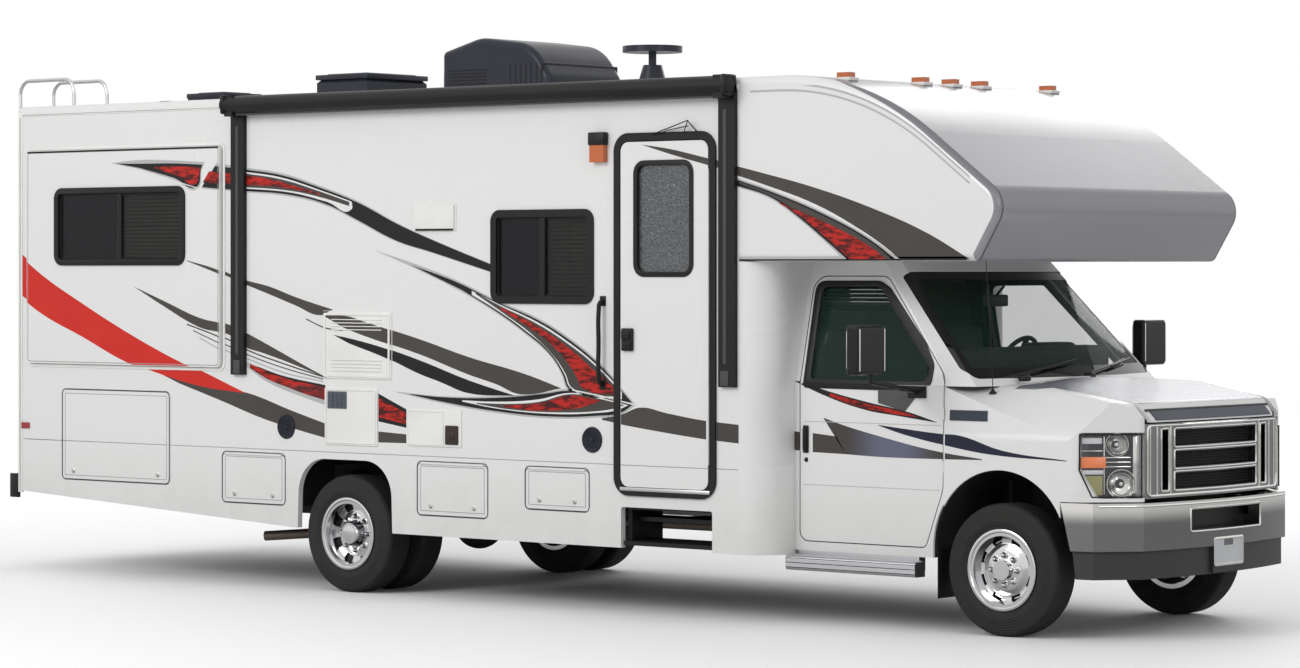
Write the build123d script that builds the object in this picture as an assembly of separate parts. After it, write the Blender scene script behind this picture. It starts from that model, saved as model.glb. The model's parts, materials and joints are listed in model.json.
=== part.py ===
"""Class C motorhome: a cutaway van chassis with a coach body, an overcab and a slide-out room.

Millimetres. X points forward, Y to the left, Z up, with the ground at Z = 0.
Everything is drawn from the front axle (X = 0) and moved on writing, so that the origin
lies on the ground below the middle of the overall length.
"""
from build123d import *
import os

os.makedirs("parts", exist_ok=True)

# ---------------------------------------------------------------- driving dimensions
# chassis
wheelbase = 4830
front_overhang = 870            # front axle to the bumper's front
rear_overhang = 3310            # rear axle to the mouth of the hitch receiver
front_track = 1763
rear_track = 1976               # between the middles of the two twin wheels
twin_spacing = 305
tyre_diameter = 744             # 225/75R16
tyre_width = 223
rim_diameter = 406
rail_outside = 860
rail_depth = 178
rail_flange = 57
rail_wall = 6
rail_top = 780
rail_drop = 120                 # how much lower the rails run below the cab
# coach body
coach_width = 2540
wall = 40
panel_gap = 6                   # seam round each door and lid
touch = 0.3                     # running gap at pins, runners and seals
coach_front = -1440
coach_corner = 200
rear_wall_behind_axle = 3120
skirt_bottom = 394
skirt_bottom_rear = 533
floor_top = 945
floor_thickness = 70
wall_top = 3105
roof_thickness = 60
overcab_bottom = 2095
overcab_nose = 228              # where the two flat faces of the nose would meet
overcab_nose_height = 2431
overcab_slope_start = -757
arch_half = 430
arch_height = 842
# slide-out room, measured from the rear axle
slide_rear = -3008
slide_front = -1110
slide_low = 1410
slide_high = 2855
slide_travel = 550
slide_depth = slide_travel + 70  # the room's depth, so that its rear stays inside the wall when it is out
slide_lap = 45                  # fascia overlap round its opening
slide_panel = 30
slide_runner = 60
# entry door
door_rear = -2580
door_front = -1805
door_low = 706
door_high = 2858
door_frame = 48
door_corner = 110
leaf_thickness = 40
frame_proud = 15
# cab
cab_rear = -1500
cab_half = 1000
cab_roof_half = 835
belt = 1390
sill_bottom = 420
cab_floor_thickness = 30
cab_wall = 60
cab_pillar = 45
cab_door_front = -385
cab_door_rear = -1400
cab_door_low = 475
cab_door_high = 2010
firewall = -280
cover_half = 330                # engine cover between the seats
cover_rear = -1000
cover_top = 1130
hood_rear = -30
hood_front = 705
hood_lip = 1205
nose_shell = 25
grille_half = 715
grille_low = 785
grille_slot_half = 430          # half length of the wide slots between the two tall ones
grille_tall_slot = 525          # where the tall slots stand
steer_arch = 445
steer_arch_centre = 485
liner_wall = 8
bumper_top = 765
bumper_mid = 500
bumper_low = 345
bumper_depth = 70
bumper_end = 405                # where the bumper ends beside the front tyre
bumper_bow = 760                # half length of the bumper's bowed middle
bumper_slot_half = 365
plate_half = 160
mirror_reach = 1600
# hinges
barrel = 7
hitch_tube = 63.5
hitch_wall = 6.35
hitch_pin = 16.5
hitch_height = 450
plate_bolt_spacing = 178
plate_bolt = 6.5

# ---------------------------------------------------------------- derived places
rear = -wheelbase
half = coach_width / 2
inner = half - wall
coach_rear = rear - rear_wall_behind_axle
corner_start = coach_front - coach_corner
floor_low = floor_top - floor_thickness
roof_top = wall_top + roof_thickness
rail_half = rail_outside / 2
tyre_radius = tyre_diameter / 2
rim_radius = rim_diameter / 2
tail = rear - rear_overhang
origin_shift = (tail + front_overhang) / 2
cab_floor = rail_top - rail_drop


# ---------------------------------------------------------------- drawing helpers
def block(x, y, z):
    """A box; each side is given as (low, high)."""
    size = Box(x[1] - x[0], y[1] - y[0], z[1] - z[0])
    return Pos((x[0] + x[1]) / 2, (y[0] + y[1]) / 2, (z[0] + z[1]) / 2) * size


def outline(points):
    """A closed outline of (across, up) points; a third value rounds that corner."""
    face = make_face(Polyline(*[point[:2] for point in points], close=True))
    for point in points:
        if len(point) == 3:
            corner = face.vertices().sort_by_distance(Vector(point[0], point[1]))[0]
            face = fillet(corner, point[2])
    return face


def resized(points, grow):
    """An outline with every edge moved out by grow, or in where it is negative."""
    return offset(outline(points), grow, kind=Kind.INTERSECTION)


def thick_x(face, low, high):
    """A (Y, Z) face made into a solid between two places along X."""
    return Pos(low, 0, 0) * extrude(Plane.YZ * face, high - low, dir=(1, 0, 0))


def thick_y(face, low, high):
    """An (X, Z) face made into a solid between two places along Y."""
    return Pos(0, low, 0) * extrude(Plane.XZ * face, high - low, dir=(0, 1, 0))


def thick_z(face, low, high):
    """An (X, Y) face made into a solid between two heights."""
    return Pos(0, 0, low) * extrude(face, high - low, dir=(0, 0, 1))


def along_x(points, low, high):
    return thick_x(outline(points), low, high)


def along_y(points, low, high):
    return thick_y(outline(points), low, high)


def along_z(points, low, high):
    return thick_z(outline(points), low, high)


def framed(x, z, corner=0.0):
    """The four corners of an upright opening, as (along, up, corner radius)."""
    corners = [(x[0], z[0]), (x[1], z[0]), (x[1], z[1]), (x[0], z[1])]
    if corner == 0:
        return corners
    return [(across, up, corner) for across, up in corners]


def rod_x(x, y, z, radius):
    return Pos((x[0] + x[1]) / 2, y, z) * Rot(0, 90, 0) * Cylinder(radius, x[1] - x[0])


def rod_y(x, y, z, radius):
    return Pos(x, (y[0] + y[1]) / 2, z) * Rot(90, 0, 0) * Cylinder(radius, y[1] - y[0])


def rod_z(x, y, z, radius):
    return Pos(x, y, (z[0] + z[1]) / 2) * Cylinder(radius, z[1] - z[0])


def rod(start, end, radius):
    """A round bar from one point to another."""
    path = Line(start, end)
    return sweep(Plane(origin=path @ 0, z_dir=path % 0) * Circle(radius), path=path)


def tube_path(points, corner, radius, bore=0.0):
    """A bent tube through points, every bend of one radius."""
    path = FilletPolyline(*points, radius=corner)
    section = Circle(radius)
    if bore:
        section = section - Circle(bore)
    return sweep(Plane(origin=path @ 0, z_dir=path % 0) * section, path=path)


def flipped(shape):
    """The same piece on the vehicle's other side."""
    return mirror(shape, Plane.XZ)


def solids(*shapes):
    """Separate solids that share one node."""
    found = []
    for shape in shapes:
        found.extend(shape.solids())
    return Compound(children=found)


pieces = {}


# ---------------------------------------------------------------- chassis
rail_front = 700
rail_rear = coach_rear + 60
rail_low = rail_top - rail_depth
# side view of a rail: it runs lower below the cab and kicks up behind it
rail_side = [
    (rail_rear, rail_low),
    (-2000, rail_low, 300),
    (-1600, rail_low - rail_drop, 300),
    (rail_front, rail_low - rail_drop),
    (rail_front, rail_top - rail_drop),
    (-1600, rail_top - rail_drop, 300),
    (-2000, rail_top, 300),
    (rail_rear, rail_top),
]


def rail(shift):
    points = []
    for number, point in enumerate(rail_side):
        lift = shift if number < 4 else -shift
        points.append((point[0], point[1] + lift, *point[2:]))
    return points


def right_rail():
    bar = along_y(rail(0), -rail_half, -rail_half + rail_flange)
    hollow = along_y(rail(rail_wall), -rail_half + rail_wall, -rail_half + rail_flange + 1)
    return bar - hollow


front_rail_top = rail_top - rail_drop
front_rail_low = rail_low - rail_drop
pieces["frame_rails"] = solids(right_rail(), flipped(right_rail()))

# crossmembers between the rails: (place, half length, middle height)
crossmembers = [
    (620, 40, front_rail_top - 60),
    (-2300, 35, rail_top - 80),
    (-3500, 35, rail_top - 80),
    (rear + 900, 35, rail_top - 80),
    (rear - 900, 35, rail_top - 80),
    (rear - 2100, 35, rail_top - 80),
    (rail_rear + 80, 35, rail_top - 80),
]
web = rail_half - rail_wall
bars = [block((x - dx, x + dx), (-web, web), (z - 45, z + 45)) for x, dx, z in crossmembers]
# a sling below the gearbox, and floor beams across the rails
sling_drop = 42
bars.append(block((-940, -860), (-rail_half, rail_half), (front_rail_low - sling_drop, front_rail_low)))
beam_places = [-1740, -2690, -3450, rear + 540, rear - 480, rear - 1370, rear - 2870]
step_well_depth = 340
for x in beam_places:
    bars.append(block((x - 25, x + 25), (-inner + 20, inner - 20), (rail_top, floor_low)))
# rear spring hangers and front spring towers, outside the rails
spring_half = 640
spring_inside = 500
spring_outside = 576
hangers = []
for x in (rear - spring_half, rear + spring_half):
    hangers.append(block((x - 35, x + 35), (-spring_outside, -rail_half), (rail_low - 50, rail_top - 60)))
tower_low = 640
hangers.append(block((-70, 70), (-570, -rail_half), (tower_low, tower_low + 15)))
for hanger in hangers:
    bars.extend([hanger, flipped(hanger)])
pieces["frame_crossmembers"] = solids(*bars)

# front axle: two crossing beams, each pivoting below the opposite rail
kingpin = front_track / 2 - 106.5
kingpin_radius = 18
beam_half = 44
pivot_inside = 345
beam_side = [
    (-kingpin, tyre_radius - beam_half),
    (-kingpin, tyre_radius + beam_half),
    (-600, tyre_radius + 20, 60),
    (-430, 370, 100),
    (pivot_inside, 400, 60),
    (pivot_inside, front_rail_low),
    (pivot_inside + 60, front_rail_low),
    (pivot_inside + 60, 320, 60),
    (-430, 285, 100),
    (-620, tyre_radius - beam_half, 60),
]


def front_beam():
    bar = along_x(beam_side, 12, 72)
    boss = rod_z(0, -kingpin, (tyre_radius - beam_half, tyre_radius + beam_half), 38)
    link = block((0, 72), (-kingpin, -kingpin + 135), (tyre_radius - beam_half, tyre_radius + beam_half - 8))
    coil = rod_z(30, -500, (340, tower_low), 52)
    bore = rod_z(0, -kingpin, (0, 600), kingpin_radius + touch)
    return bar + boss + link + coil - bore


left_beam = Rot(0, 0, 180) * front_beam()
pieces["front_axle"] = solids(front_beam(), left_beam)

# rear axle: housing, leaf springs and prop shaft
axle_tube = 52
twin_inner = rear_track / 2 - twin_spacing / 2
twin_outer = rear_track / 2 + twin_spacing / 2
spindle = 40
leaf_top = rail_low - 50
spring_seat = tyre_radius + axle_tube - 12
spring_side = [
    (-spring_half - 35, leaf_top - 32),
    (-spring_half - 35, leaf_top),
    (-spring_half + 35, leaf_top, 30),
    (0, spring_seat + 62, 900),
    (spring_half - 35, leaf_top, 30),
    (spring_half + 35, leaf_top),
    (spring_half + 35, leaf_top - 32),
    (spring_half - 60, leaf_top - 40, 200),
    (120, spring_seat, 60),
    (-120, spring_seat, 60),
    (-spring_half + 60, leaf_top - 40, 200),
]
spring_points = [(rear + point[0], *point[1:]) for point in spring_side]
spring = along_y(spring_points, -spring_outside, -spring_inside)
housing = rod_y(rear, (-760, 760), tyre_radius, axle_tube)
housing += rod_y(rear, (-twin_outer - 60, twin_outer + 60), tyre_radius, spindle)
housing += Pos(rear, 0, tyre_radius) * Sphere(165)
housing += rod_x((rear, rear + 330), 0, tyre_radius + 10, 70)
gearbox_rear = -1350
gearbox_height = 545
housing += rod((rear + 300, 0, tyre_radius + 10), (gearbox_rear - 2, 0, gearbox_height), 38)
pieces["rear_axle"] = housing + spring + flipped(spring)

# engine, gearbox and radiator, as plain blocks
motor = block((-700, 320), (-cover_half + 40, cover_half - 40), (front_rail_low + 20, cover_top - 60))
motor += block((gearbox_rear, -700), (-150, 150), (front_rail_low + touch, cab_floor - 5))
motor += block((-120, -20), (-web, web), (front_rail_low + rail_wall, front_rail_low + 60))
radiator_front = 640
radiator_half = web - rail_flange - 30
radiator = block((radiator_front - 80, radiator_front), (-radiator_half, radiator_half),
                 (front_rail_top - 15, 1160))
pieces["engine"] = solids(motor, radiator)

# exhaust: muffler, a bend over the rear axle and a tail pipe on the right
pipe = 32
pipe_y = -655
muffler_x = (-3900, -3100)
pipe_route = [
    (muffler_x[0] + 50, pipe_y, 480),
    (rear + 520, pipe_y, 480),
    (rear + 200, pipe_y, 540),
    (rear - 250, pipe_y, 540),
    (rear - 600, pipe_y - 60, 330),
    (rear - 1090, -900, 290),
]
muffler = rod_x(muffler_x, pipe_y, 520, 110)
front_pipe = tube_path([(muffler_x[1] - 30, pipe_y, 500), (-2300, pipe_y, 500), (-1900, -300, 395),
                        (-750, -300, 395)], 120, pipe)
strap = block((muffler_x[0] + 200, muffler_x[0] + 240), (pipe_y - 20, pipe_y + 20), (600, rail_top))
strap += block((muffler_x[0] + 200, muffler_x[0] + 240), (pipe_y - 20, -rail_half), (rail_top - 40, rail_top))
pieces["exhaust"] = muffler + tube_path(pipe_route, 120, pipe) + front_pipe + strap

# tanks hung below the floor: (rear end, front end, right side, left side, low, high)
tanks = [
    (rear - 1850, rear - 1000, -330, 330, 400, rail_top - 130),
    (-3350, -2420, rail_half + 60, 1050, 520, rail_top),
    (rear - 1850, rear - 700, rail_half + 60, 900, 560, rail_top),
]
tank_solids = []
for x0, x1, y0, y1, z0, z1 in tanks:
    tank_solids.append(fillet(block((x0, x1), (y0, y1), (z0, z1)).edges().filter_by(Axis.X), 40))
tank_solids[0] += block((rear - 1450, rear - 1400), (-rail_half + rail_wall, rail_half - rail_wall),
                        (rail_top - 131, rail_top - 90))
pieces["underfloor_tanks"] = solids(*tank_solids)


# ---------------------------------------------------------------- cab volumes
def cab_plan(inset, level):
    """Plan outline of the cab at a level, between the belt and the roof."""
    share = (level - belt) / (overcab_bottom - belt)
    side_rear = cab_half + share * (cab_roof_half - cab_half) - inset
    side_x = -330 + share * -600 - inset / 2
    side_y = 985 + share * -180 - inset
    corner_x = -200 + share * -640 - inset
    corner_y = 940 + share * -170 - inset
    middle_x = -50 + share * -650 - inset
    edges = [
        Line((cab_rear, -side_rear), (side_x, -side_y)),
        Line((side_x, -side_y), (corner_x, -corner_y)),
        ThreePointArc((corner_x, -corner_y), (middle_x, 0), (corner_x, corner_y)),
        Line((corner_x, corner_y), (side_x, side_y)),
        Line((side_x, side_y), (cab_rear, side_rear)),
        Line((cab_rear, side_rear), (cab_rear, -side_rear)),
    ]
    return Pos(0, 0, level) * make_face(Curve() + edges)


def cab_upper(inset, low, high):
    """The cab above the belt, each side moved in by the inset."""
    return loft([cab_plan(inset, low), cab_plan(inset, high)], ruled=True)


def shoulder(inset):
    """The top of both front wings: as high as the belt at the door, and down to the nose in front."""
    inside = -812
    foot = 1000
    top = belt - 4 - inset
    behind = [(-cab_half + inset, foot), (inset - 985, top), (inside, top), (inside, foot)]
    ahead = [(-cab_half + inset, foot), (inset - 985, 1150 - inset), (inside, 1364 - inset), (inside, foot)]
    places = ((cab_door_front + panel_gap / 2, behind), (300, ahead))
    wedge = loft([Pos(x, 0, 0) * (Plane.YZ * outline(points)) for x, points in places], ruled=True)
    return wedge + flipped(wedge)


def nose(inset):
    """The hood and front wings as one volume, each face moved in by the inset."""
    section = [
        (-cab_half + inset, 300),
        (-cab_half + inset, 1130 - inset, 110),
        (-800 + inset, 1392 - inset, 130),
        (0, 1440 - inset),
        (800 - inset, 1392 - inset, 130),
        (cab_half - inset, 1130 - inset, 110),
        (cab_half - inset, 300),
    ]
    profile = [
        (cab_door_front + panel_gap / 2, 300),
        (cab_door_front + panel_gap / 2, 1470 - inset),
        (-60, 1432 - inset, 200),
        (690 - inset, 1310 - inset, 70),
        (795 - inset, 1195, 60),
        (815 - inset, 785, 60),
        (800 - inset, 300),
    ]
    plan = [
        (cab_door_front - 10, -cab_half + inset),
        (500, -cab_half + inset, 160),
        (765 - inset, -grille_half - 20, 60),
        (815 - inset, 0, 1500),
        (765 - inset, grille_half + 20, 60),
        (500, cab_half - inset, 160),
        (cab_door_front - 10, cab_half - inset),
    ]
    volume = along_x(section, cab_door_front, 900) & along_y(profile, -cab_half, cab_half)
    return (volume & along_z(plan, 300, 1500)) + shoulder(inset)


cab_outside = cab_upper(0, belt, overcab_bottom)
nose_outside = nose(0)
nose_wall = nose_outside - nose(nose_shell)
liner_inside = cab_half - 500
hinge_x = cab_door_front


# ---------------------------------------------------------------- coach walls
def wall_plate():
    """A bare right wall with its rounded front corner, before anything is cut in it."""
    skirt_turn = rear - arch_half - 30
    points = [
        (coach_rear, skirt_bottom_rear),
        (skirt_turn, skirt_bottom),
        (corner_start, skirt_bottom),
        (corner_start, wall_top),
        (coach_rear, wall_top),
    ]
    plate = along_y(points, -half, -inner)
    centre = Pos(corner_start, -half + coach_corner, skirt_bottom)
    standing = (Align.CENTER, Align.CENTER, Align.MIN)
    ring = Cylinder(coach_corner, overcab_bottom - skirt_bottom, align=standing)
    ring -= Cylinder(coach_corner - wall, overcab_bottom - skirt_bottom, align=standing)
    quarter = block((corner_start, coach_front), (-half, -half + coach_corner),
                    (skirt_bottom, overcab_bottom))
    turned = (centre * ring) & quarter
    front_return = block((coach_front - wall, coach_front), (-half + coach_corner, -760),
                         (skirt_bottom, overcab_bottom))
    lower_cab = block((cab_rear, coach_front + 1), (-cab_half, 0), (sill_bottom, belt))
    return plate + turned + (front_return - cab_outside - lower_cab)


# wheel arch, rounded at its upper corners
arch_points = [
    (rear - arch_half, 0),
    (rear - arch_half + 25, arch_height, 230),
    (rear + arch_half - 25, arch_height, 230),
    (rear + arch_half, 0),
]


def opening(points):
    """A hole through the right wall, shaped like an outline."""
    return along_y(points, -half - 200, -half + 200)


# baggage doors on the right, by name: (rear, front, low, high, hinge)
lower_rear = rear - 2674
baggage_right = {
    "a": (lower_rear, lower_rear + 1049, 629, 1236, "front"),
    "b": (rear - 1111, rear - 533, 534, 850, "top"),
    "c": (rear + 636, rear + 1225, 522, 843, "top"),
    "d": (-3294, -2785, 596, 842, "top"),
}
baggage_left = {
    "e": (rear + 600, rear + 1250, 522, 843, "top"),
}
lid_corner = 25
barrel_centre = half + 2        # hinge barrels stand a little proud of the wall


def hinge_bar(door, radius, short):
    """The hinge barrel of a baggage door, or the groove it turns in."""
    x0, x1, z0, z1, edge = door
    if edge == "front":
        return rod_z(x1, -barrel_centre, (z0 + 30 + short, z1 - 30 - short), radius)
    return rod_x((x0 + 30 + short, x1 - 30 - short), -barrel_centre, z1, radius)


def baggage_door(door):
    x0, x1, z0, z1, edge = door
    seam = panel_gap / 2
    leaf = along_y(framed((x0 + seam, x1 - seam), (z0 + seam, z1 - seam), lid_corner), -half, -inner)
    return leaf + hinge_bar(door, barrel, 2)


def baggage_hole(door):
    x0, x1, z0, z1, edge = door
    seam = panel_gap / 2
    hole = opening(framed((x0 - seam, x1 + seam), (z0 - seam, z1 + seam), lid_corner + panel_gap))
    return hole + hinge_bar(door, barrel + touch, 0)


tub_wall = 10


def baggage_tub(door, depth):
    """The open box behind a baggage door."""
    x0, x1, z0, z1, edge = door
    grow = panel_gap / 2
    outer = block((x0 - grow - tub_wall, x1 + grow + tub_wall), (-inner, -inner + depth),
                  (z0 - grow - tub_wall, z1 + grow + tub_wall))
    hollow = block((x0 - grow, x1 + grow), (-inner - 1, -inner + depth - tub_wall), (z0 - grow, z1 + grow))
    return outer - hollow


# windows, by side: (rear, front, low, high)
window_right = (-3561, -2757, 1852, 2400)
windows_left = [
    (rear - 2500, rear - 1700, 1950, 2450),
    (rear - 300, rear + 700, 1900, 2450),
    (-3300, -2200, 1780, 2450),
]
window_rear = (-550, 550, 1780, 2380)
window_corner = 60
window_frame = 34
frame_lap = 12                  # how far a window frame stands proud of the wall
glass = 6


def slide_opening():
    return ((rear + slide_rear + slide_lap, rear + slide_front - slide_lap),
            (slide_low + slide_lap, slide_high - slide_lap))


step_x = (-2522, -1850)
step_low = 410
step_high = 625
step_cut = opening(framed((step_x[0] - 12, step_x[1] + 12), (skirt_bottom - 20, step_high + 12), 15))
door_hole = opening(framed((door_rear + 8, door_front - 8), (door_low + 8, door_high - 8), door_corner - 10))

right_wall = wall_plate() - opening(arch_points) - step_cut - door_hole
right_wall -= opening(framed(window_right[:2], window_right[2:], window_corner))
right_wall -= opening(framed(*slide_opening()))
for door in baggage_right.values():
    right_wall -= baggage_hole(door)
pieces["right_wall"] = right_wall

left_wall = wall_plate() - opening(arch_points)
for x0, x1, z0, z1 in windows_left:
    left_wall -= opening(framed((x0, x1), (z0, z1), window_corner))
for door in baggage_left.values():
    left_wall -= baggage_hole(door)
pieces["left_wall"] = flipped(left_wall)

bumper_x = (coach_rear - 140, coach_rear - 30)
arm_z = (606, 636)
rear_wall = block((coach_rear, coach_rear + wall), (-inner, inner), (skirt_bottom_rear, wall_top))
for side in (-1, 1):
    y = side * (rail_half - 30)
    rear_wall -= block((coach_rear - 1, coach_rear + wall + 1), (y - 28, y + 28),
                       (arm_z[0] - 3, arm_z[1] + 3))
rear_window = [(y, z, window_corner) for y, z in
               ((window_rear[0], window_rear[2]), (window_rear[1], window_rear[2]),
                (window_rear[1], window_rear[3]), (window_rear[0], window_rear[3]))]
rear_wall -= along_x(rear_window, coach_rear - 50, coach_rear + wall + 50)
plate_height = 900
for y in (-plate_bolt_spacing / 2, plate_bolt_spacing / 2):
    rear_wall -= rod_x((coach_rear - 1, coach_rear + 25), y, plate_height, plate_bolt / 2)
pieces["rear_wall"] = rear_wall

# floor, with the entry step well and the notch above the tall baggage compartment
floor = along_z([(coach_rear + wall, -inner), (coach_front - wall, -inner, coach_corner - wall),
                 (coach_front - wall, inner, coach_corner - wall), (coach_rear + wall, inner)],
                floor_low, floor_top)
well_y = -inner + step_well_depth
well_low = door_low - 26
floor -= block((door_rear, door_front), (-inner - 1, well_y), (floor_low - 1, floor_top + 1))
well = block((door_rear - 20, door_front + 20), (-inner, well_y + 20), (well_low, floor_low))
well -= block((door_rear, door_front), (-inner - 1, well_y), (door_low, floor_low + 1))
guide = 30
for x in step_x:
    low_x = x if x < -2000 else x - guide
    well += block((low_x, low_x + guide), (-inner + 20, well_y), (step_high + touch, well_low))
tall = baggage_right["a"]
tub_depth = 560
tall_notch = ((tall[0] - 20, tall[1] + 20), (-inner - 1, -inner + tub_depth + 8))
floor -= block(*tall_notch, (floor_low - 1, floor_top + 1))
cab_cut = block((cab_rear, 0), (-cab_half, cab_half), (0, floor_top + 1))
pieces["coach_floor"] = floor + well - cab_cut

tubs = [baggage_tub(door, tub_depth) for door in baggage_right.values()]
tubs[1:] = [baggage_tub(door, 400) for name, door in baggage_right.items() if name != "a"]
tubs += [flipped(baggage_tub(door, 300)) for door in baggage_left.values()]
pieces["baggage_boxes"] = solids(*tubs)

roof = block((coach_rear, corner_start), (-half, half), (wall_top, roof_top))
roof_edges = roof.edges().filter_by(Axis.X).group_by(Axis.Z)[-1]
pieces["roof"] = fillet(roof_edges, 45)

# overcab: one hollow moulding, open to the coach behind and to the cab below
overcab_profile = [
    (corner_start, overcab_bottom),
    (corner_start, roof_top),
    (overcab_slope_start, roof_top, 1750),
    (overcab_nose, overcab_nose_height, 150),
    (24, overcab_bottom, 40),
]
overcab_face = outline(overcab_profile)
overcab = thick_y(overcab_face, -half, half)
overcab_top = [edge for edge in overcab.edges() if abs(abs(edge.center().Y) - half) < 1
               and edge.center().Z > overcab_bottom + 1 and edge.center().X > corner_start + 1]
overcab = fillet(overcab_top, 45)
hollow = thick_y(resized(overcab_profile, -wall), -inner, inner)
overcab_tail = block((corner_start - 1, corner_start + wall + 1), (-inner, inner),
                     (overcab_bottom + wall, roof_top - wall))
pass_rear = corner_start - 1
pass_front = -900
pass_half = 740
overcab_pass = block((pass_rear, pass_front), (-pass_half, pass_half),
                     (overcab_bottom - 1, overcab_bottom + wall + 1))
pieces["overcab_cap"] = overcab - hollow - overcab_tail - overcab_pass


# ---------------------------------------------------------------- coach windows and entry door
def window_ring(points, y_high):
    """A frame that fills the edge of an opening and laps a little over the wall outside."""
    ring = thick_y(resized(points, frame_lap), -half - frame_lap, -half)
    ring += along_y(points, -half, y_high)
    return ring - thick_y(resized(points, -window_frame), -half - 100, 0)


def window_pane(points):
    return thick_y(resized(points, -window_frame), -half + 14, -half + 14 + glass)


def framed_window(window):
    return framed((window[0], window[1]), (window[2], window[3]), window_corner)


frames = [window_ring(framed_window(window_right), -inner)]
panes = [window_pane(framed_window(window_right))]
for window in windows_left:
    frames.append(flipped(window_ring(framed_window(window), -inner)))
    panes.append(flipped(window_pane(framed_window(window))))
turn_to_rear = Pos(coach_rear + half, 0, 0) * Rot(0, 0, -90)
rear_points = framed_window(window_rear)
frames.append(turn_to_rear * window_ring(rear_points, -inner))
panes.append(turn_to_rear * window_pane(rear_points))

frame_outside = framed((door_rear, door_front), (door_low, door_high), door_corner)
door_ring = along_y(frame_outside, -half - frame_proud, -half)
door_ring += thick_y(resized(frame_outside, -8), -half, -inner)
door_ring -= thick_y(resized(frame_outside, -door_frame), -half - 100, 0)
entry_hinge = door_front - door_frame - panel_gap / 2
entry_barrel = half + frame_proud + 4
entry_hinge_z = (door_low + 200, door_high - 220)
door_ring -= rod_z(entry_hinge, -entry_barrel, entry_hinge_z, barrel + 2 + touch)
pieces["coach_window_frames"] = solids(*frames, door_ring)
pieces["coach_window_glass"] = solids(*panes)

leaf_outside = half + frame_proud - 2
leaf_face = resized(frame_outside, -door_frame - panel_gap)
leaf = thick_y(leaf_face, -leaf_outside, -leaf_outside + leaf_thickness)
leaf_window = framed((-2406, -1985), (2022, 2676), 60)
leaf -= opening(leaf_window)
leaf += rod_z(entry_hinge, -entry_barrel, (entry_hinge_z[0] + 2, entry_hinge_z[1] - 2), barrel + 2)
pieces["entry_door"] = leaf
leaf_pane = thick_y(resized(leaf_window, -touch), -leaf_outside + 16, -leaf_outside + 16 + glass)
pieces["entry_door_window"] = leaf_pane

# folding step below the door: two treads between side plates
step_y = (-half + 14, -inner + step_well_depth - 40)
step = block(step_x, step_y, (step_low, step_low + 25))
step += block(step_x, (step_y[0] + 110, step_y[1]), (step_high - 75, step_high - 50))
for x in step_x:
    low_x = x if x < -2000 else x - guide
    step += block((low_x, low_x + guide), (step_y[0] + 40, step_y[1]), (step_low, step_high))
pieces["entry_step"] = step

# ---------------------------------------------------------------- slide-out room
slide_x = (rear + slide_rear, rear + slide_front)
slide_z = (slide_low, slide_high)
fascia_inside = half + panel_gap - 1
fascia_sheet = block(slide_x, (-fascia_inside - 25, -fascia_inside), slide_z)
fascia = fillet(fascia_sheet.edges().filter_by(Axis.Y), 30)
open_x, open_z = slide_opening()
side_gap = 8
room_x = (open_x[0] + side_gap, open_x[1] - side_gap)
room_z = (open_z[0] + side_gap, open_z[1] - side_gap)
room = block(room_x, (-fascia_inside, -half + slide_depth), room_z)
room -= block((room_x[0] + slide_panel, room_x[1] - slide_panel),
              (-fascia_inside - 1, -half + slide_depth + 1),
              (room_z[0] + slide_panel, room_z[1] - slide_panel))
for x in (room_x[0] + 150, room_x[1] - 150 - slide_runner):
    room += block((x, x + slide_runner), (-half, -half + slide_depth), (open_z[0] + touch, room_z[0]))
slide_window = framed((-2706 + rear, -1443 + rear), (2087, 2588), window_corner)
slide_room = fascia + room - opening(slide_window)
slide_glass = thick_y(resized(slide_window, -touch), -fascia_inside - 12, -fascia_inside - 12 + glass)
pieces["slide_room"] = slide_room
pieces["slide_window"] = slide_glass

for name, door in baggage_right.items():
    pieces["baggage_door_" + name] = baggage_door(door)
for name, door in baggage_left.items():
    pieces["baggage_door_" + name] = flipped(baggage_door(door))

# ---------------------------------------------------------------- cab
door_seam = [
    (cab_door_rear, cab_door_low, 60),
    (cab_door_front - 120, cab_door_low, 40),
    (cab_door_front, 810, 200),
    (cab_door_front, 1440, 120),
    (-890, cab_door_high, 90),
    (cab_door_rear, cab_door_high, 90),
]
cab_glass_outline = [
    (-1345, 1400, 25),
    (-505, 1400, 25),
    (-478, 1480, 40),
    (-925, 1965, 60),
    (-1352, 1960, 50),
]
windshield_outline = [
    (-940, 1432, 55),
    (940, 1432, 55),
    (802, 2035, 55),
    (-802, 2035, 55),
]
cab_shell_upper = cab_outside - cab_upper(cab_pillar, belt - 1, overcab_bottom - 40)
cab_shell_upper -= block((cab_rear - 1, pass_front), (-pass_half, pass_half), (belt, overcab_bottom + 1))
cab_shell_upper -= block((cab_rear - 1, cab_rear + cab_wall), (-pass_half - 20, pass_half + 20),
                         (belt - 1, overcab_bottom - 40))
cab_slab = block((cab_rear, cab_door_front + panel_gap / 2), (-cab_half, -cab_half + cab_wall),
                 (sill_bottom, belt))
post = block((cab_door_front, firewall + nose_shell), (-cab_half + nose_shell, -cab_half + cab_wall),
             (sill_bottom, belt))
cab_slab += post & nose(nose_shell)
cab_skin = cab_shell_upper + cab_slab + flipped(cab_slab)
# the space that the front tyre and its liner take
wheelhouse = rod_y(0, (-cab_half - 100, -liner_inside), steer_arch_centre, steer_arch + liner_wall)
wheelhouse += block((-steer_arch - liner_wall, steer_arch + liner_wall), (-cab_half - 100, -liner_inside),
                    (0, steer_arch_centre))


def door_prism(grow):
    return thick_y(resized(door_seam, grow), -cab_half - 100, -cab_half + 400)


hinge_levels = [(900, 970), (1200, 1270)]


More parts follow.
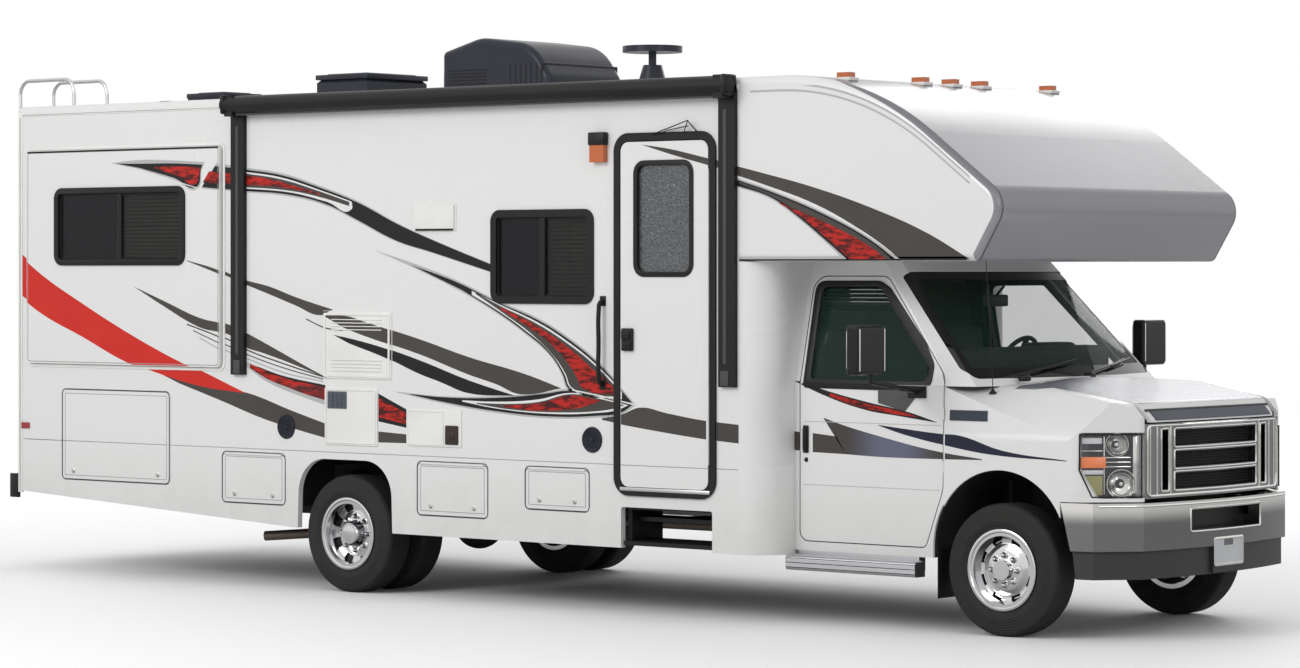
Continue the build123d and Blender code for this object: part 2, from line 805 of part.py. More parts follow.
def cab_hinges(radius, longer):
    found = []
    for low, high in hinge_levels:
        found.append(rod_z(hinge_x, -cab_half, (low - longer, high + longer), radius))
    return found


cab_body = cab_skin - door_prism(panel_gap / 2) - flipped(door_prism(panel_gap / 2))
cab_body += block((cab_rear, firewall), (-cab_half + cab_wall, cab_half - cab_wall),
                  (cab_floor, cab_floor + cab_floor_thickness))
for low in (-cab_half + cab_wall, cab_half - cab_wall - 60):
    cab_body += block((cab_rear, firewall), (low, low + 60), (sill_bottom, cab_floor))
bulkhead = block((firewall, firewall + nose_shell), (-cab_half + cab_wall, cab_half - cab_wall),
                 (cab_floor, belt))
cab_body += bulkhead & nose(nose_shell)
cover = block((cover_rear, firewall + nose_shell), (-cover_half, cover_half), (cab_floor, cover_top))
cover_hollow = block((cover_rear + 20, firewall + nose_shell + 1), (-cover_half + 20, cover_half - 20),
                     (cab_floor - 1, cover_top - 20))
cab_body = cab_body + cover - cover_hollow - wheelhouse - flipped(wheelhouse)
hood_axis_z = 1406
hood_square = 130               # the hood's sides run straight back for this length at the hinges
hood_swing = 36
hood_hinges = [(-560, -460), (460, 560)]
cowl_zone = block((cab_door_front, hood_rear - panel_gap), (-850, 850), (1330, 1500))
cowl = (nose_wall & cowl_zone) - cab_outside
# the middle of the hood's rear edge stands above its hinges and swings back into this recess
cowl_cut_half = hood_hinges[1][0] - 20
cowl -= block((hood_rear - hood_swing, hood_rear), (-cowl_cut_half, cowl_cut_half), (1300, 1500))
for y in hood_hinges:
    cowl -= rod_y(hood_rear, (y[0] - 2, y[1] + 2), hood_axis_z, barrel + touch)
cab_body += cowl
cab_body -= along_x(windshield_outline, -870, 100)
pieces["cab_shell"] = cab_body

# windshield and door glass follow the cab's surface
windshield = cab_upper(4, belt, overcab_bottom) & thick_x(resized(windshield_outline, -touch), -870, 100)
pieces["windshield"] = windshield - cab_upper(4 + glass, belt - 1, overcab_bottom + 1)

hood_plan = [
    (hood_rear, -800),
    (hood_rear + hood_square, -800),
    (hood_front, -672, 50),
    (900, -600),
    (900, 600),
    (hood_front, 672, 50),
    (hood_rear + hood_square, 800),
    (hood_rear, 800),
]


def hood_prism(grow):
    return thick_z(resized(hood_plan, grow), hood_lip - grow, hood_lip + 400)


hood = nose_wall & hood_prism(0)
for y in hood_hinges:
    hood += rod_y(hood_rear, y, hood_axis_z, barrel)
pieces["hood"] = hood
# side view of a lamp: upright behind, then cut off below towards the bumper
lamp_side = [(512, 1150, 15), (512, 955, 30), (585, 792, 30), (900, 792), (900, 1150)]
lamp_zone = along_y(lamp_side, -cab_half - 1, -grille_half)
headlamp = (nose_outside - nose(110)) & lamp_zone
pieces["headlamps"] = solids(headlamp, flipped(headlamp))

# front wings: what is left of the nose beside hood, lamps and grille, with a lined arch
lamp_cut = thick_y(resized(lamp_side, 2), -cab_half - 2, -grille_half + 2)
wing = nose_wall & block((cab_door_front + panel_gap / 2, 900), (-cab_half, -600), (400, 1500))
wing = wing - hood_prism(panel_gap) - lamp_cut - cowl_zone
wing -= block((300, 900), (-grille_half, 0), (0, 1500))
wing -= block((bumper_end - 5, 900), (-1100, 0), (0, bumper_top + 5))
arch_space = rod_y(0, (-cab_half - 100, -liner_inside + 1), steer_arch_centre, steer_arch)
arch_space += block((-steer_arch, steer_arch), (-cab_half - 100, -liner_inside + 1), (0, steer_arch_centre))
wing -= arch_space
liner = wheelhouse & block((-500, 500), (-cab_half + nose_shell, -liner_inside), (440, 1000))
liner -= arch_space
liner -= block((bumper_end - 5, 900), (-cab_half - 100, -cab_half + 100), (0, bumper_top + 5))
for cut in cab_hinges(barrel + touch, 2):
    wing -= cut
wing = (wing + liner).solids().sort_by(SortBy.VOLUME)[-1]
pieces["front_wings"] = solids(wing, flipped(wing))

# grille: a frame with three wide slots between two tall ones
grille_zone = block((600, 900), (-grille_half + touch, grille_half - touch),
                    (grille_low, hood_lip - panel_gap - 2))
grille = (nose_outside - nose(70)) & grille_zone
slot_rows = [(830, 920), (950, 1040), (1070, 1160)]
for low, high in slot_rows:
    grille -= block((500, 1000), (-grille_slot_half, grille_slot_half), (low, high))
for y in (-grille_tall_slot, grille_tall_slot):
    grille -= block((500, 1000), (y - 28, y + 28), (slot_rows[0][0], slot_rows[-1][1]))
for y in (-radiator_half, radiator_half - 40):
    grille += block((radiator_front, 760), (y, y + 40), (grille_low, grille_low + 30))
pieces["grille"] = grille


# front bumper: a bowed bar over a set-back valance, cut back below at both ends
def bumper_half_line(shift):
    """The right half of the bumper's front line, set back by a shift: (X, Y) places."""
    return [(bumper_end, shift - 1005), (600 - shift / 2, shift - 975), (790 - shift, shift / 2 - bumper_bow)]


def bumper_face(inset):
    face_lines = []
    for shift in (inset, inset + bumper_depth):
        end, turn, bow = bumper_half_line(shift)
        face_lines.append([
            Line(end, turn),
            Line(turn, bow),
            ThreePointArc(bow, (front_overhang - shift, 0), (bow[0], -bow[1])),
            Line((bow[0], -bow[1]), (turn[0], -turn[1])),
            Line((turn[0], -turn[1]), (end[0], -end[1])),
        ])
    front_end, back_end = bumper_half_line(inset)[0], bumper_half_line(inset + bumper_depth)[0]
    ends = [Line(front_end, back_end), Line((front_end[0], -front_end[1]), (back_end[0], -back_end[1]))]
    return make_face(Curve() + face_lines[0] + face_lines[1] + ends)


bumper = Pos(0, 0, bumper_mid) * extrude(bumper_face(0), bumper_top - bumper_mid)
bumper += Pos(0, 0, bumper_low) * extrude(bumper_face(20), bumper_mid - bumper_low)
bumper -= block((500, 1000), (-bumper_slot_half, bumper_slot_half), (600, 715))
end_cut = [(0, bumper_top), (bumper_end, bumper_top), (bumper_end + 60, bumper_mid),
           (bumper_end + 120, 0), (0, 0)]
bumper -= along_y(end_cut, -1100, 1100)
for side in (-1, 1):
    y = side * (rail_half - 30)
    bumper += block((rail_front, front_overhang - bumper_depth + 10), (y - 28, y + 28),
                    (bumper_mid + 10, front_rail_top - 10))
bumper += block((front_overhang - 40, front_overhang - 4), (-plate_half, plate_half), (352, 540))
pieces["front_bumper"] = bumper

# cab doors with their glass and mirrors
door_skin = cab_skin & door_prism(-panel_gap / 2)
door_skin -= along_y(cab_glass_outline, -1100, -600)
for part in cab_hinges(barrel, 0):
    door_skin += part
pieces["cab_door_right"] = door_skin
door_pane = cab_upper(14, belt, overcab_bottom) & thick_y(resized(cab_glass_outline, -touch), -1100, -600)
door_pane -= cab_upper(14 + glass, belt - 1, overcab_bottom + 1)
pieces["cab_door_glass_right"] = door_pane
mirror_x = -580
head = block((mirror_x - 45, mirror_x + 45), (-mirror_reach, -mirror_reach + 260), (1460, 1740))
head = fillet(head.edges(), 22)
arm = rod((-560, -cab_half + 25, 1350), (mirror_x, -mirror_reach + 180, 1420), 14)
arm += rod((mirror_x, -mirror_reach + 180, 1412), (mirror_x, -mirror_reach + 180, 1480), 12)
foot = block((-620, -500), (-cab_half - 14, -cab_half), (1320, 1382))
mirror_right = (head + arm + foot) - block((-900, -300), (-cab_half, 0), (1200, 1500))
pieces["mirror_right"] = mirror_right
pieces["cab_door_left"] = flipped(door_skin)
pieces["cab_door_glass_left"] = flipped(door_pane)
pieces["mirror_left"] = flipped(mirror_right)

# dashboard with the steering wheel, and two seats on pedestals
dash_front = cab_door_front     # ahead of it the dashboard is lower, below the cowl
dash_top = 1440
dash = block((-620, dash_front), (-780, 780), (cover_top + 10, dash_top))
dash += block((dash_front, firewall), (-780, 780), (cover_top + 10, 1325))
dash -= block((-621, -560), (-1000, 1000), (cover_top + 9, 1300))
column_top = Vector(-860, 420, 1470)
dash += rod((-560, 420, 1330), (column_top.X, column_top.Y, column_top.Z), 25)
tilt = Pos(column_top.X, column_top.Y, column_top.Z) * Rot(0, -63, 0)
dash += tilt * Torus(190, 14)
dash += tilt * Box(360, 40, 14)
chairs = []
for side in (-1, 1):
    y = side * 620
    chair = block((-1420, -980), (y - 230, y + 230), (900, 1010))
    chair += along_y([(-1480, 1010), (-1360, 1010), (-1400, 1700, 40), (-1495, 1700, 25)], y - 230, y + 230)
    chair += block((-1380, -1060), (y - 150, y + 150), (cab_floor + cab_floor_thickness, 900))
    chairs.append(chair)
pieces["cab_interior"] = solids(dash, *chairs)

board_x = (coach_front + 10, -510)
board_width = 100
board = block(board_x, (-cab_half - board_width, -cab_half), (310, 395))
board = fillet(board.edges().filter_by(Axis.X).group_by(Axis.Y)[0], 20)
board += block((board_x[0] + 20, board_x[1] - 40), (-cab_half, -cab_half + cab_wall), (340, sill_bottom))
pieces["running_boards"] = solids(board, flipped(board))


# ---------------------------------------------------------------- on the outside of the coach
# awning: roller tube with end castings and two arms down the wall
awning_x = (rear - 985, -1690)
roller_y = -half - 72
roller_z = 3115
arm_low = 1365
awning = rod_x((awning_x[0] - 20, awning_x[1] + 20), roller_y, roller_z, 58)
for x, high in ((awning_x[0] + 40, roller_z), (awning_x[1] - 20, roller_z)):
    awning += block((x - 60, x + 60), (-half - 30, -half), (arm_low, high))
    awning += block((x - 35, x + 35), (roller_y - 40, -half), (roller_z - 75, roller_z + 62))
pieces["awning"] = awning

# air conditioner, vents and aerial on the roof
cooler_side = [
    (rear, roof_top),
    (rear, roof_top + 300, 40),
    (rear + 330, roof_top + 385, 300),
    (rear + 780, roof_top + 330, 300),
    (rear + 930, roof_top + 120, 80),
    (rear + 930, roof_top),
]
cooler = along_y(cooler_side, -370, 370)
cooler = fillet(cooler.edges().filter_by(Axis.Z), 40)
pieces["roof_air_conditioner"] = cooler
vent_big = block((rear - 1220, rear - 750), (-290, 290), (roof_top, roof_top + 190))
vent_big = chamfer(vent_big.faces().sort_by(Axis.Z)[-1].edges(), 50)
vent_small = block((rear - 2600, rear - 2240), (-180, 180), (roof_top, roof_top + 110))
vent_small = fillet(vent_small.faces().sort_by(Axis.Z)[-1].edges(), 35)
vent_front = block((-2700, -2340), (-180, 180), (roof_top, roof_top + 60))
aerial = Pos(-3346, 0, roof_top) * Cone(110, 60, 180, align=(Align.CENTER, Align.CENTER, Align.MIN))
aerial += rod_z(-3346, 0, (roof_top + 180, roof_top + 260), 25)
aerial += rod_z(-3346, 0, (roof_top + 260, roof_top + 300), 190)
stack = rod_z(rear + 250, 700, (roof_top, roof_top + 120), 45)
pieces["roof_fittings"] = solids(vent_big, vent_small, vent_front, aerial, stack)

# rear ladder
ladder_x = coach_rear - 80
ladder_y = (-1190, -890)
ladder_tube = 13
ladder_rung = 10
rail_route = [(ladder_x, 1000), (ladder_x, 3345), (coach_rear + 470, 3345), (coach_rear + 470, roof_top)]
ladder = None
for y in ladder_y:
    side_bar = tube_path([(x, y, z) for x, z in rail_route], 90, ladder_tube)
    foot = rod_x((ladder_x, coach_rear), y, 1050, ladder_rung)
    clip = rod_x((ladder_x, coach_rear), y, 2900, ladder_rung)
    ladder = side_bar + foot + clip if ladder is None else ladder + side_bar + foot + clip
rung_count = 7
for number in range(rung_count):
    ladder += rod_y(ladder_x, ladder_y, 1120 + number * 300, ladder_rung)
pieces["ladder"] = ladder

# rear bumper and hitch receiver
rear_bumper = fillet(block(bumper_x, (-1230, 1230), (532, 642)).edges().filter_by(Axis.Y), 15)
for side in (-1, 1):
    y = side * (rail_half - 30)
    rear_bumper += block((bumper_x[1] - 5, rail_rear), (y - 25, y + 25), arm_z)
hitch_half = hitch_tube / 2
hitch_top = hitch_height + hitch_half
cross_x = (coach_rear + 60, coach_rear + 120)
hitch_inside = hitch_half - hitch_wall
receiver_x = (tail, cross_x[1])
receiver = block(receiver_x, (-hitch_half, hitch_half), (hitch_height - hitch_half, hitch_top))
receiver -= block((tail - 1, receiver_x[1] + 1), (-hitch_inside, hitch_inside),
                  (hitch_height - hitch_inside, hitch_height + hitch_inside))
hitch_pin_x = tail + 60
receiver -= rod_y(hitch_pin_x, (-100, 100), hitch_height, hitch_pin / 2)
pieces["hitch_receiver"] = receiver
cross_tube = block(cross_x, (-rail_half, rail_half), (hitch_top, hitch_top + 60))
for y in (-rail_half, rail_half - 40):
    cross_tube += block((cross_x[0], cross_x[1] + 60), (y, y + 40), (hitch_top, rail_low))
pieces["rear_bumper"] = solids(rear_bumper, cross_tube)

# lockers, vents and small panels: (rear, front, low, high, how far proud)
panels_right = [
    (rear - 186, rear + 417, 1356, 1784, 14),
    (rear - 168, rear + 295, 935, 1300, 14),
    (rear + 546, rear + 1012, 948, 1180, 12),
    (rear + 610, rear + 965, 2285, 2455, 18),
    (-2700, -2645, 1340, 1880, 45),
]
panels_left = [
    (rear - 1400, rear - 900, 950, 1330, 14),
    (rear + 900, rear + 1150, 1000, 1200, 12),
    (-2300, -1980, 1000, 1300, 12),
]
panel_solids = []
for x0, x1, z0, z1, proud in panels_right:
    panel_solids.append(block((x0, x1), (-half - proud, -half), (z0, z1)))
for x0, x1, z0, z1, proud in panels_left:
    panel_solids.append(block((x0, x1), (half, half + proud), (z0, z1)))
for x, z in ((rear - 519, 1037), (-2758, 1029)):
    panel_solids.append(rod_y(x, (-half - 12, -half), z, 78))
pieces["service_panels"] = solids(*panel_solids)

# lamps: five on the overcab, five above the rear window, a porch lamp, tail and side lamps
lamps = []
lamp_x = -1040
for y in (-1037, -305, 0, 305, 1037):
    lamps.append(block((lamp_x - 45, lamp_x + 45), (y - 28, y + 28), (3142, 3180)))
    lamps.append(block((coach_rear - 18, coach_rear), (y - 50, y + 50), (3030, 3060)))
lamps.append(block((-2749, -2640), (-half - 40, -half), (2688, 2862)))
for side in (-1, 1):
    lamps.append(block((coach_rear - 25, coach_rear), (side * 1130 - 60, side * 1130 + 60), (700, 980)))
    lamps.append(block((coach_rear + 30, coach_rear + 110), (side * half - 8, side * half + 8), (960, 1000)))
outside_of_walls = block((coach_rear, -1700), (-half, half), (0, 3000))
lamps = [lamp - outside_of_walls for lamp in lamps]
lamps = [lamp - overcab for lamp in lamps]
pieces["lamps"] = solids(*lamps)

# ---------------------------------------------------------------- wheels
tyre_half = tyre_width / 2
tyre_section = [
    (rim_radius, -88),
    (rim_radius + 16, -88),
    (rim_radius + 70, -tyre_half, 40),
    (tyre_radius - 8, -95, 30),
    (tyre_radius, -70),
    (tyre_radius, 70),
    (tyre_radius - 8, 95, 30),
    (rim_radius + 70, tyre_half, 40),
    (rim_radius + 16, 88),
    (rim_radius, 88),
]
hub_radius = 72
spindle_front = 30
# rim section, seen with the outboard side towards positive: (radius, along the axle)
rim_section = [
    (rim_radius, -88), (rim_radius, 88), (rim_radius + 14, 88), (rim_radius + 14, 100),
    (rim_radius - 12, 100),
    (rim_radius - 22, 70), (rim_radius - 36, 34), (120, 20), (hub_radius, 34), (hub_radius, 62), (0, 62),
    (0, -10), (hub_radius, -10), (hub_radius, 4), (120, -2), (rim_radius - 18, 6), (rim_radius - 18, -76),
    (rim_radius - 12, -100), (rim_radius + 14, -100), (rim_radius + 14, -88),
]


def turned(section, side):
    """A section of (radius, along the axle), turned about the Y axis; outboard is side."""
    face = make_face(Polyline(*[(radius, side * along) for radius, along in section], close=True))
    return revolve(Plane.XY * face, Axis.Y)


def tyre(x, y):
    face = Plane.XY * outline(tyre_section)
    return Pos(x, y, tyre_radius) * revolve(face, Axis.Y)


for name, side in (("right", -1), ("left", 1)):
    y = side * front_track / 2
    wheel = Pos(0, y, tyre_radius) * turned(rim_section, side)
    wheel += rod_y(0, sorted((y + side * 55, y + side * 108)), tyre_radius, 55)
    wheel -= rod_y(0, sorted((y - side * 60, y + side * 50)), tyre_radius, spindle_front + touch)
    pieces["wheel_front_" + name] = wheel
    pieces["tyre_front_" + name] = tyre(0, y)
    outer_y = side * twin_outer
    inner_y = side * twin_inner
    twin = Pos(rear, outer_y, tyre_radius) * turned(rim_section, -side)
    twin += Pos(rear, inner_y, tyre_radius) * turned(rim_section, side)
    twin += rod_y(rear, sorted((inner_y, outer_y)), tyre_radius, hub_radius)
    twin += rod_y(rear, sorted((outer_y, outer_y + side * 90)), tyre_radius, 62)
    twin -= rod_y(rear, sorted((inner_y - side * 100, outer_y + side * 62)), tyre_radius, spindle + touch)
    pieces["wheels_rear_" + name] = twin
    pieces["tyres_rear_" + name] = solids(tyre(rear, outer_y), tyre(rear, inner_y))

    pin_y = side * kingpin
    knuckle = rod_z(0, pin_y, (tyre_radius - 80, tyre_radius + 80), kingpin_radius)
    for low in (tyre_radius - 80, tyre_radius + beam_half + touch):
        knuckle += rod_z(0, pin_y, (low, low + 36 - touch), 36)
    knuckle += block((-34, 34), sorted((pin_y + side * 40, pin_y + side * 58)),
                     (tyre_radius - 80, tyre_radius + 80))
    for low in (tyre_radius - 80, tyre_radius + beam_half + touch):
        knuckle += block((-30, 30), sorted((pin_y, pin_y + side * 50)), (low, low + 36 - touch))
    knuckle += rod_y(0, sorted((pin_y + side * 40, y + side * 45)), tyre_radius, spindle_front)
    knuckle += rod_y(0, sorted((pin_y + side * 44, pin_y + side * 56)), tyre_radius, 140)
    pieces["knuckle_" + name] = knuckle

# ---------------------------------------------------------------- writing
for name, shape in pieces.items():
    export_step(Pos(-origin_shift, 0, 0) * shape, f"parts/{name}.step")
print(len(pieces), "pieces")
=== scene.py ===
# %% [markdown]
# # A motorhome on a truck chassis
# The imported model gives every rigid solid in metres: +X to the front, +Y to the driver's side, +Z up.
# This lesson dresses it: a camera and soft light, paint and glass, and then the many small pieces that
# a coach builder adds by hand. Every new piece rides on the body that carries it, so doors and the
# slide-out room take their trim along.

# %% Load the frame
import json
from contextlib import contextmanager
from math import atan2, cos, degrees, hypot, pi, radians, sin
import bmesh
import bpy
from mathutils import Matrix, Vector


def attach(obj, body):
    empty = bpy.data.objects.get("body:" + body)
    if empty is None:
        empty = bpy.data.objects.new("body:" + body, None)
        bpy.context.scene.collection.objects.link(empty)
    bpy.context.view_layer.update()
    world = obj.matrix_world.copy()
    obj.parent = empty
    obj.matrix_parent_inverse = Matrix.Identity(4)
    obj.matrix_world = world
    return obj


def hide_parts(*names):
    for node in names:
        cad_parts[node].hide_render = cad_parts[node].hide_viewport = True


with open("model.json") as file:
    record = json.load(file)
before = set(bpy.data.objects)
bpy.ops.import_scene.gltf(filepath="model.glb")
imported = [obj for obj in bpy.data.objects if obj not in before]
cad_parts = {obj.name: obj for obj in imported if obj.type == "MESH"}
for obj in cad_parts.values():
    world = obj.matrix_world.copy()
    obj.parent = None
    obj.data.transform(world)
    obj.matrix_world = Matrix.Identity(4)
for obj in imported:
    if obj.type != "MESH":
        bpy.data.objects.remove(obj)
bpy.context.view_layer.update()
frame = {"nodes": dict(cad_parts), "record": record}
nodes = frame["nodes"]
# skins of the sides, as distances from the centre plane
wall_skin, vent_skin, leaf_skin, fascia_skin, cab_side = 1.270, 1.278, 1.283, 1.300, 1.000
axle_x = {"front": 3.635, "rear": -1.195}
hub_height = 0.372

# %% [markdown]
# ## Camera
# A long lens about two metres up, looking at the front right corner, flattens the perspective as a
# catalogue picture does. The camera stays level, and a small shift keeps the wheels in the frame.

# %% Camera
camera_place, camera_turn = (15.485, -18.28, 2.049), 0.6942
bpy.ops.object.select_all(action="DESELECT")
bpy.ops.object.camera_add(location=camera_place, rotation=(pi / 2, 0, camera_turn))
camera = bpy.context.object
camera.name = "catalogue_camera"
camera.data.sensor_width = 36
camera.data.lens = 103.72
camera.data.shift_y = -0.0497
camera.data.clip_end = 200
bpy.context.scene.camera = camera

# %% [markdown]
# ## Light and floor
# Big soft lamps copy a photo studio. The side wall faces the main lamp and the nose faces a weaker
# one, so the two sides of the corner differ. The floor and the world look white to the camera, to
# mirrors and through glass, but light the paint at a plain level.

# %% Light
def soft_lamp(name, place, aim, size, power):
    bpy.ops.object.light_add(type="AREA", location=place)
    lamp = bpy.context.object
    lamp.name = name
    lamp.data.shape = "DISK"
    lamp.data.size = size
    lamp.data.energy = power
    lamp.rotation_euler = (Vector(aim) - Vector(place)).to_track_quat("-Z", "Y").to_euler()
    return lamp


soft_lamp("side_lamp", (-2, -16, 9), (0, 0, 1.5), 9, 1180)
soft_lamp("nose_lamp", (16, -5, 7), (2, 0, 1.5), 6, 300)
soft_lamp("far_lamp", (-3, 15, 9), (0, 0, 1.5), 8, 480)
soft_lamp("rear_lamp", (-16, 3, 6), (-3, 0, 1.5), 6, 330)

world = bpy.context.scene.world or bpy.data.worlds.new("studio")
bpy.context.scene.world = world
world.use_nodes = True
bpy.context.scene.view_settings.view_transform = "Standard"


# %% [markdown]
# ## A small language for shaders
# Node trees are easier to read as sums. `Val` wraps one socket, and arithmetic on it adds Math nodes.
# `Finish` holds one material with its Principled shader, and `node` adds any other node.

# %% Shader helpers
class Val:
    def __init__(self, tree, socket):
        self.tree = tree
        self.socket = socket

    def math(self, operation, other=None, swap=False):
        made = self.tree.nodes.new("ShaderNodeMath")
        made.operation = operation
        pair = [self, other]
        if swap:
            pair.reverse()
        for place, value in zip(made.inputs, pair):
            plug(self.tree, place, value)
        return Val(self.tree, made.outputs[0])

    def __add__(self, other):
        return self.math("ADD", other)

    def __radd__(self, other):
        return self.math("ADD", other, True)

    def __sub__(self, other):
        return self.math("SUBTRACT", other)

    def __rsub__(self, other):
        return self.math("SUBTRACT", other, True)

    def __mul__(self, other):
        return self.math("MULTIPLY", other)

    def __gt__(self, other):
        return self.math("GREATER_THAN", other)

    def __lt__(self, other):
        return self.math("LESS_THAN", other)

    def size(self):
        return self.math("ABSOLUTE")

    def wave(self):
        return self.math("SINE")

    def most(self, other):
        return self.math("MAXIMUM", other)


def plug(tree, socket, value):
    if value is None:
        return
    if isinstance(value, Val):
        tree.links.new(value.socket, socket)
    elif isinstance(value, (tuple, list)) and len(value) == 3 and socket.type == "RGBA":
        socket.default_value = (*value, 1.0)
    else:
        socket.default_value = value


class Finish:
    """One material: its shader's fixed values, and the node maths that feeds the rest."""

    def __init__(self, name, colour=(0.5, 0.5, 0.5), roughness=0.5, metallic=0.0, coat=0.0, alpha=1.0):
        self.material = bpy.data.materials.new(name)
        self.material.use_nodes = True
        self.tree = self.material.node_tree
        self.shader = self.tree.nodes["Principled BSDF"]
        self.feed("Base Color", colour)
        self.feed("Roughness", roughness)
        self.feed("Metallic", metallic)
        self.feed("Coat Weight", coat)
        self.feed("Alpha", alpha)
        self.place = self.node("ShaderNodeTexCoord").of("Object")

    def feed(self, socket, value):
        plug(self.tree, self.shader.inputs[socket], value)

    def node(self, kind, settings=None, **values):
        made = self.tree.nodes.new(kind)
        for key, value in (settings or {}).items():
            setattr(made, key, value)
        for key, value in values.items():
            plug(self.tree, made.inputs[key.replace("_", " ")], value)
        return Node(self.tree, made)

    def axes(self):
        split = self.node("ShaderNodeSeparateXYZ", Vector=self.place)
        return split.of("X"), split.of("Y"), split.of("Z")

    def noise(self, scale, detail=3.0, rough=0.5, vector=None):
        made = self.node("ShaderNodeTexNoise", Scale=scale, Detail=detail, Roughness=rough)
        plug(self.tree, made.made.inputs["Vector"], vector or self.place)
        return made.of("Fac")

    def ramp(self, value, low, high):
        """0 below low, 1 above high, smooth between."""
        made = self.node("ShaderNodeMapRange", {"interpolation_type": "SMOOTHSTEP"})
        for key, number in (("Value", value), ("From Min", low), ("From Max", high)):
            plug(self.tree, made.made.inputs[key], number)
        return made.of("Result")

    def mix(self, share, first, second):
        made = self.tree.nodes.new("ShaderNodeMix")
        made.data_type = "RGBA"
        plug(self.tree, made.inputs[0], share)
        plug(self.tree, made.inputs[6], first)
        plug(self.tree, made.inputs[7], second)
        return Val(self.tree, made.outputs[2])

    def tint(self, share, first, second):
        """The base colour goes from first to second as share goes from 0 to 1."""
        self.feed("Base Color", self.mix(share, first, second))

    def bump(self, height, distance, strength=1.0):
        made = self.node("ShaderNodeBump", Height=height, Distance=distance, Strength=strength)
        self.feed("Normal", made.of("Normal"))

    def stretched(self, x, y, z):
        made = self.node("ShaderNodeVectorMath", {"operation": "MULTIPLY"})
        plug(self.tree, made.made.inputs[0], self.place)
        made.made.inputs[1].default_value = (x, y, z)
        return made.of("Vector")


class Node:
    def __init__(self, tree, made):
        self.tree = tree
        self.made = made

    def of(self, output):
        return Val(self.tree, self.made.outputs[output])


# %% World
sky = Finish.__new__(Finish)
sky.tree = world.node_tree
sky.tree.nodes.clear()
rays = sky.node("ShaderNodeLightPath")
seen = rays.of("Is Camera Ray").most(rays.of("Is Glossy Ray")).most(rays.of("Is Transmission Ray"))
backdrop = sky.node("ShaderNodeBackground", Color=(1, 1, 1), Strength=seen * 0.42 + 0.58)
sky.node("ShaderNodeOutputWorld", Surface=backdrop.of("Background"))

# %% Floor
bpy.ops.mesh.primitive_circle_add(vertices=96, radius=60, fill_type="TRIFAN", location=(0, 0, -0.0005))
floor = bpy.context.object
floor.name = "studio_floor"
floor_finish = Finish("studio_floor", (0.86, 0.86, 0.86), 0.7)
floor_rays = floor_finish.node("ShaderNodeLightPath")
floor_finish.tint(floor_rays.of("Is Camera Ray"), (0.6, 0.6, 0.6), (1.0, 1.0, 1.0))
across, along, _ = floor_finish.axes()
reach = (across * across * 0.45 + along * along).math("SQRT")
glow = floor_finish.node("ShaderNodeEmission", Color=(1.0, 1.0, 1.0), Strength=1.0)
fade = floor_finish.node("ShaderNodeMixShader")
plug(floor_finish.tree, fade.made.inputs[0],
    floor_finish.ramp(reach, 3.2, 9.5) * floor_rays.of("Is Camera Ray"))
plug(floor_finish.tree, fade.made.inputs[1], Val(floor_finish.tree, floor_finish.shader.outputs[0]))
plug(floor_finish.tree, fade.made.inputs[2], glow.of("Emission"))
floor_out = floor_finish.tree.nodes["Material Output"]
plug(floor_finish.tree, floor_out.inputs["Surface"], fade.of("Shader"))
floor.data.materials.append(floor_finish.material)
print("floor and", len(bpy.data.lights), "lamps")

# %% [markdown]
# ## Paint, plastic, rubber, metal and glass
# Each finish gets what the real one shows up close: orange peel and faint road dirt on the gelcoat,
# grain in moulded plastic, dust on rubber, small scratches on chrome. The coach walls are white
# outside and panelled in warm board inside, and the place on the wall tells which side a point is on.

# %% Coach paint
def gelcoat(name, colour):
    finish = Finish(name, colour, 0.3, 0.0, 0.15)
    finish.feed("Coat Roughness", 0.25)
    x, y, z = finish.axes()
    cloud = finish.noise(0.9, 2.0)
    fine = finish.noise(240.0, 2.0)
    dirt = finish.noise(5.0, 5.0, 0.62) * (1.0 - finish.ramp(z, 0.35, 1.0))
    clean = finish.mix(cloud * 0.5, colour, tuple(c * 0.98 for c in colour))
    finish.dirty = finish.mix(dirt * 0.38, clean, (0.36, 0.34, 0.31))
    finish.feed("Base Color", finish.dirty)
    finish.feed("Roughness", 0.2 + cloud * 0.12 + dirt * 0.35)
    finish.bump(fine, 0.0003, 0.35)
    finish.x, finish.y, finish.z = x, y, z
    return finish


white = (0.77, 0.77, 0.765)
paint = gelcoat("coach_gelcoat", white)
wall_paint = gelcoat("coach_wall", white)
corner_x = (wall_paint.x - 1.995).most(0.0)
corner_y = (wall_paint.y.size() - 1.07).most(0.0)
within_corner = corner_x * corner_x + corner_y * corner_y < 0.185 * 0.185
within = within_corner * (wall_paint.z > 0.9) * (wall_paint.z < 3.112)
within = within * (wall_paint.x > -4.31)
grain = wall_paint.noise(6.0, 4.0, 0.6, wall_paint.stretched(1, 1, 9))
board = wall_paint.mix(grain, (0.30, 0.24, 0.18), (0.42, 0.35, 0.27))
wall_paint.tint(within, wall_paint.dirty, board)

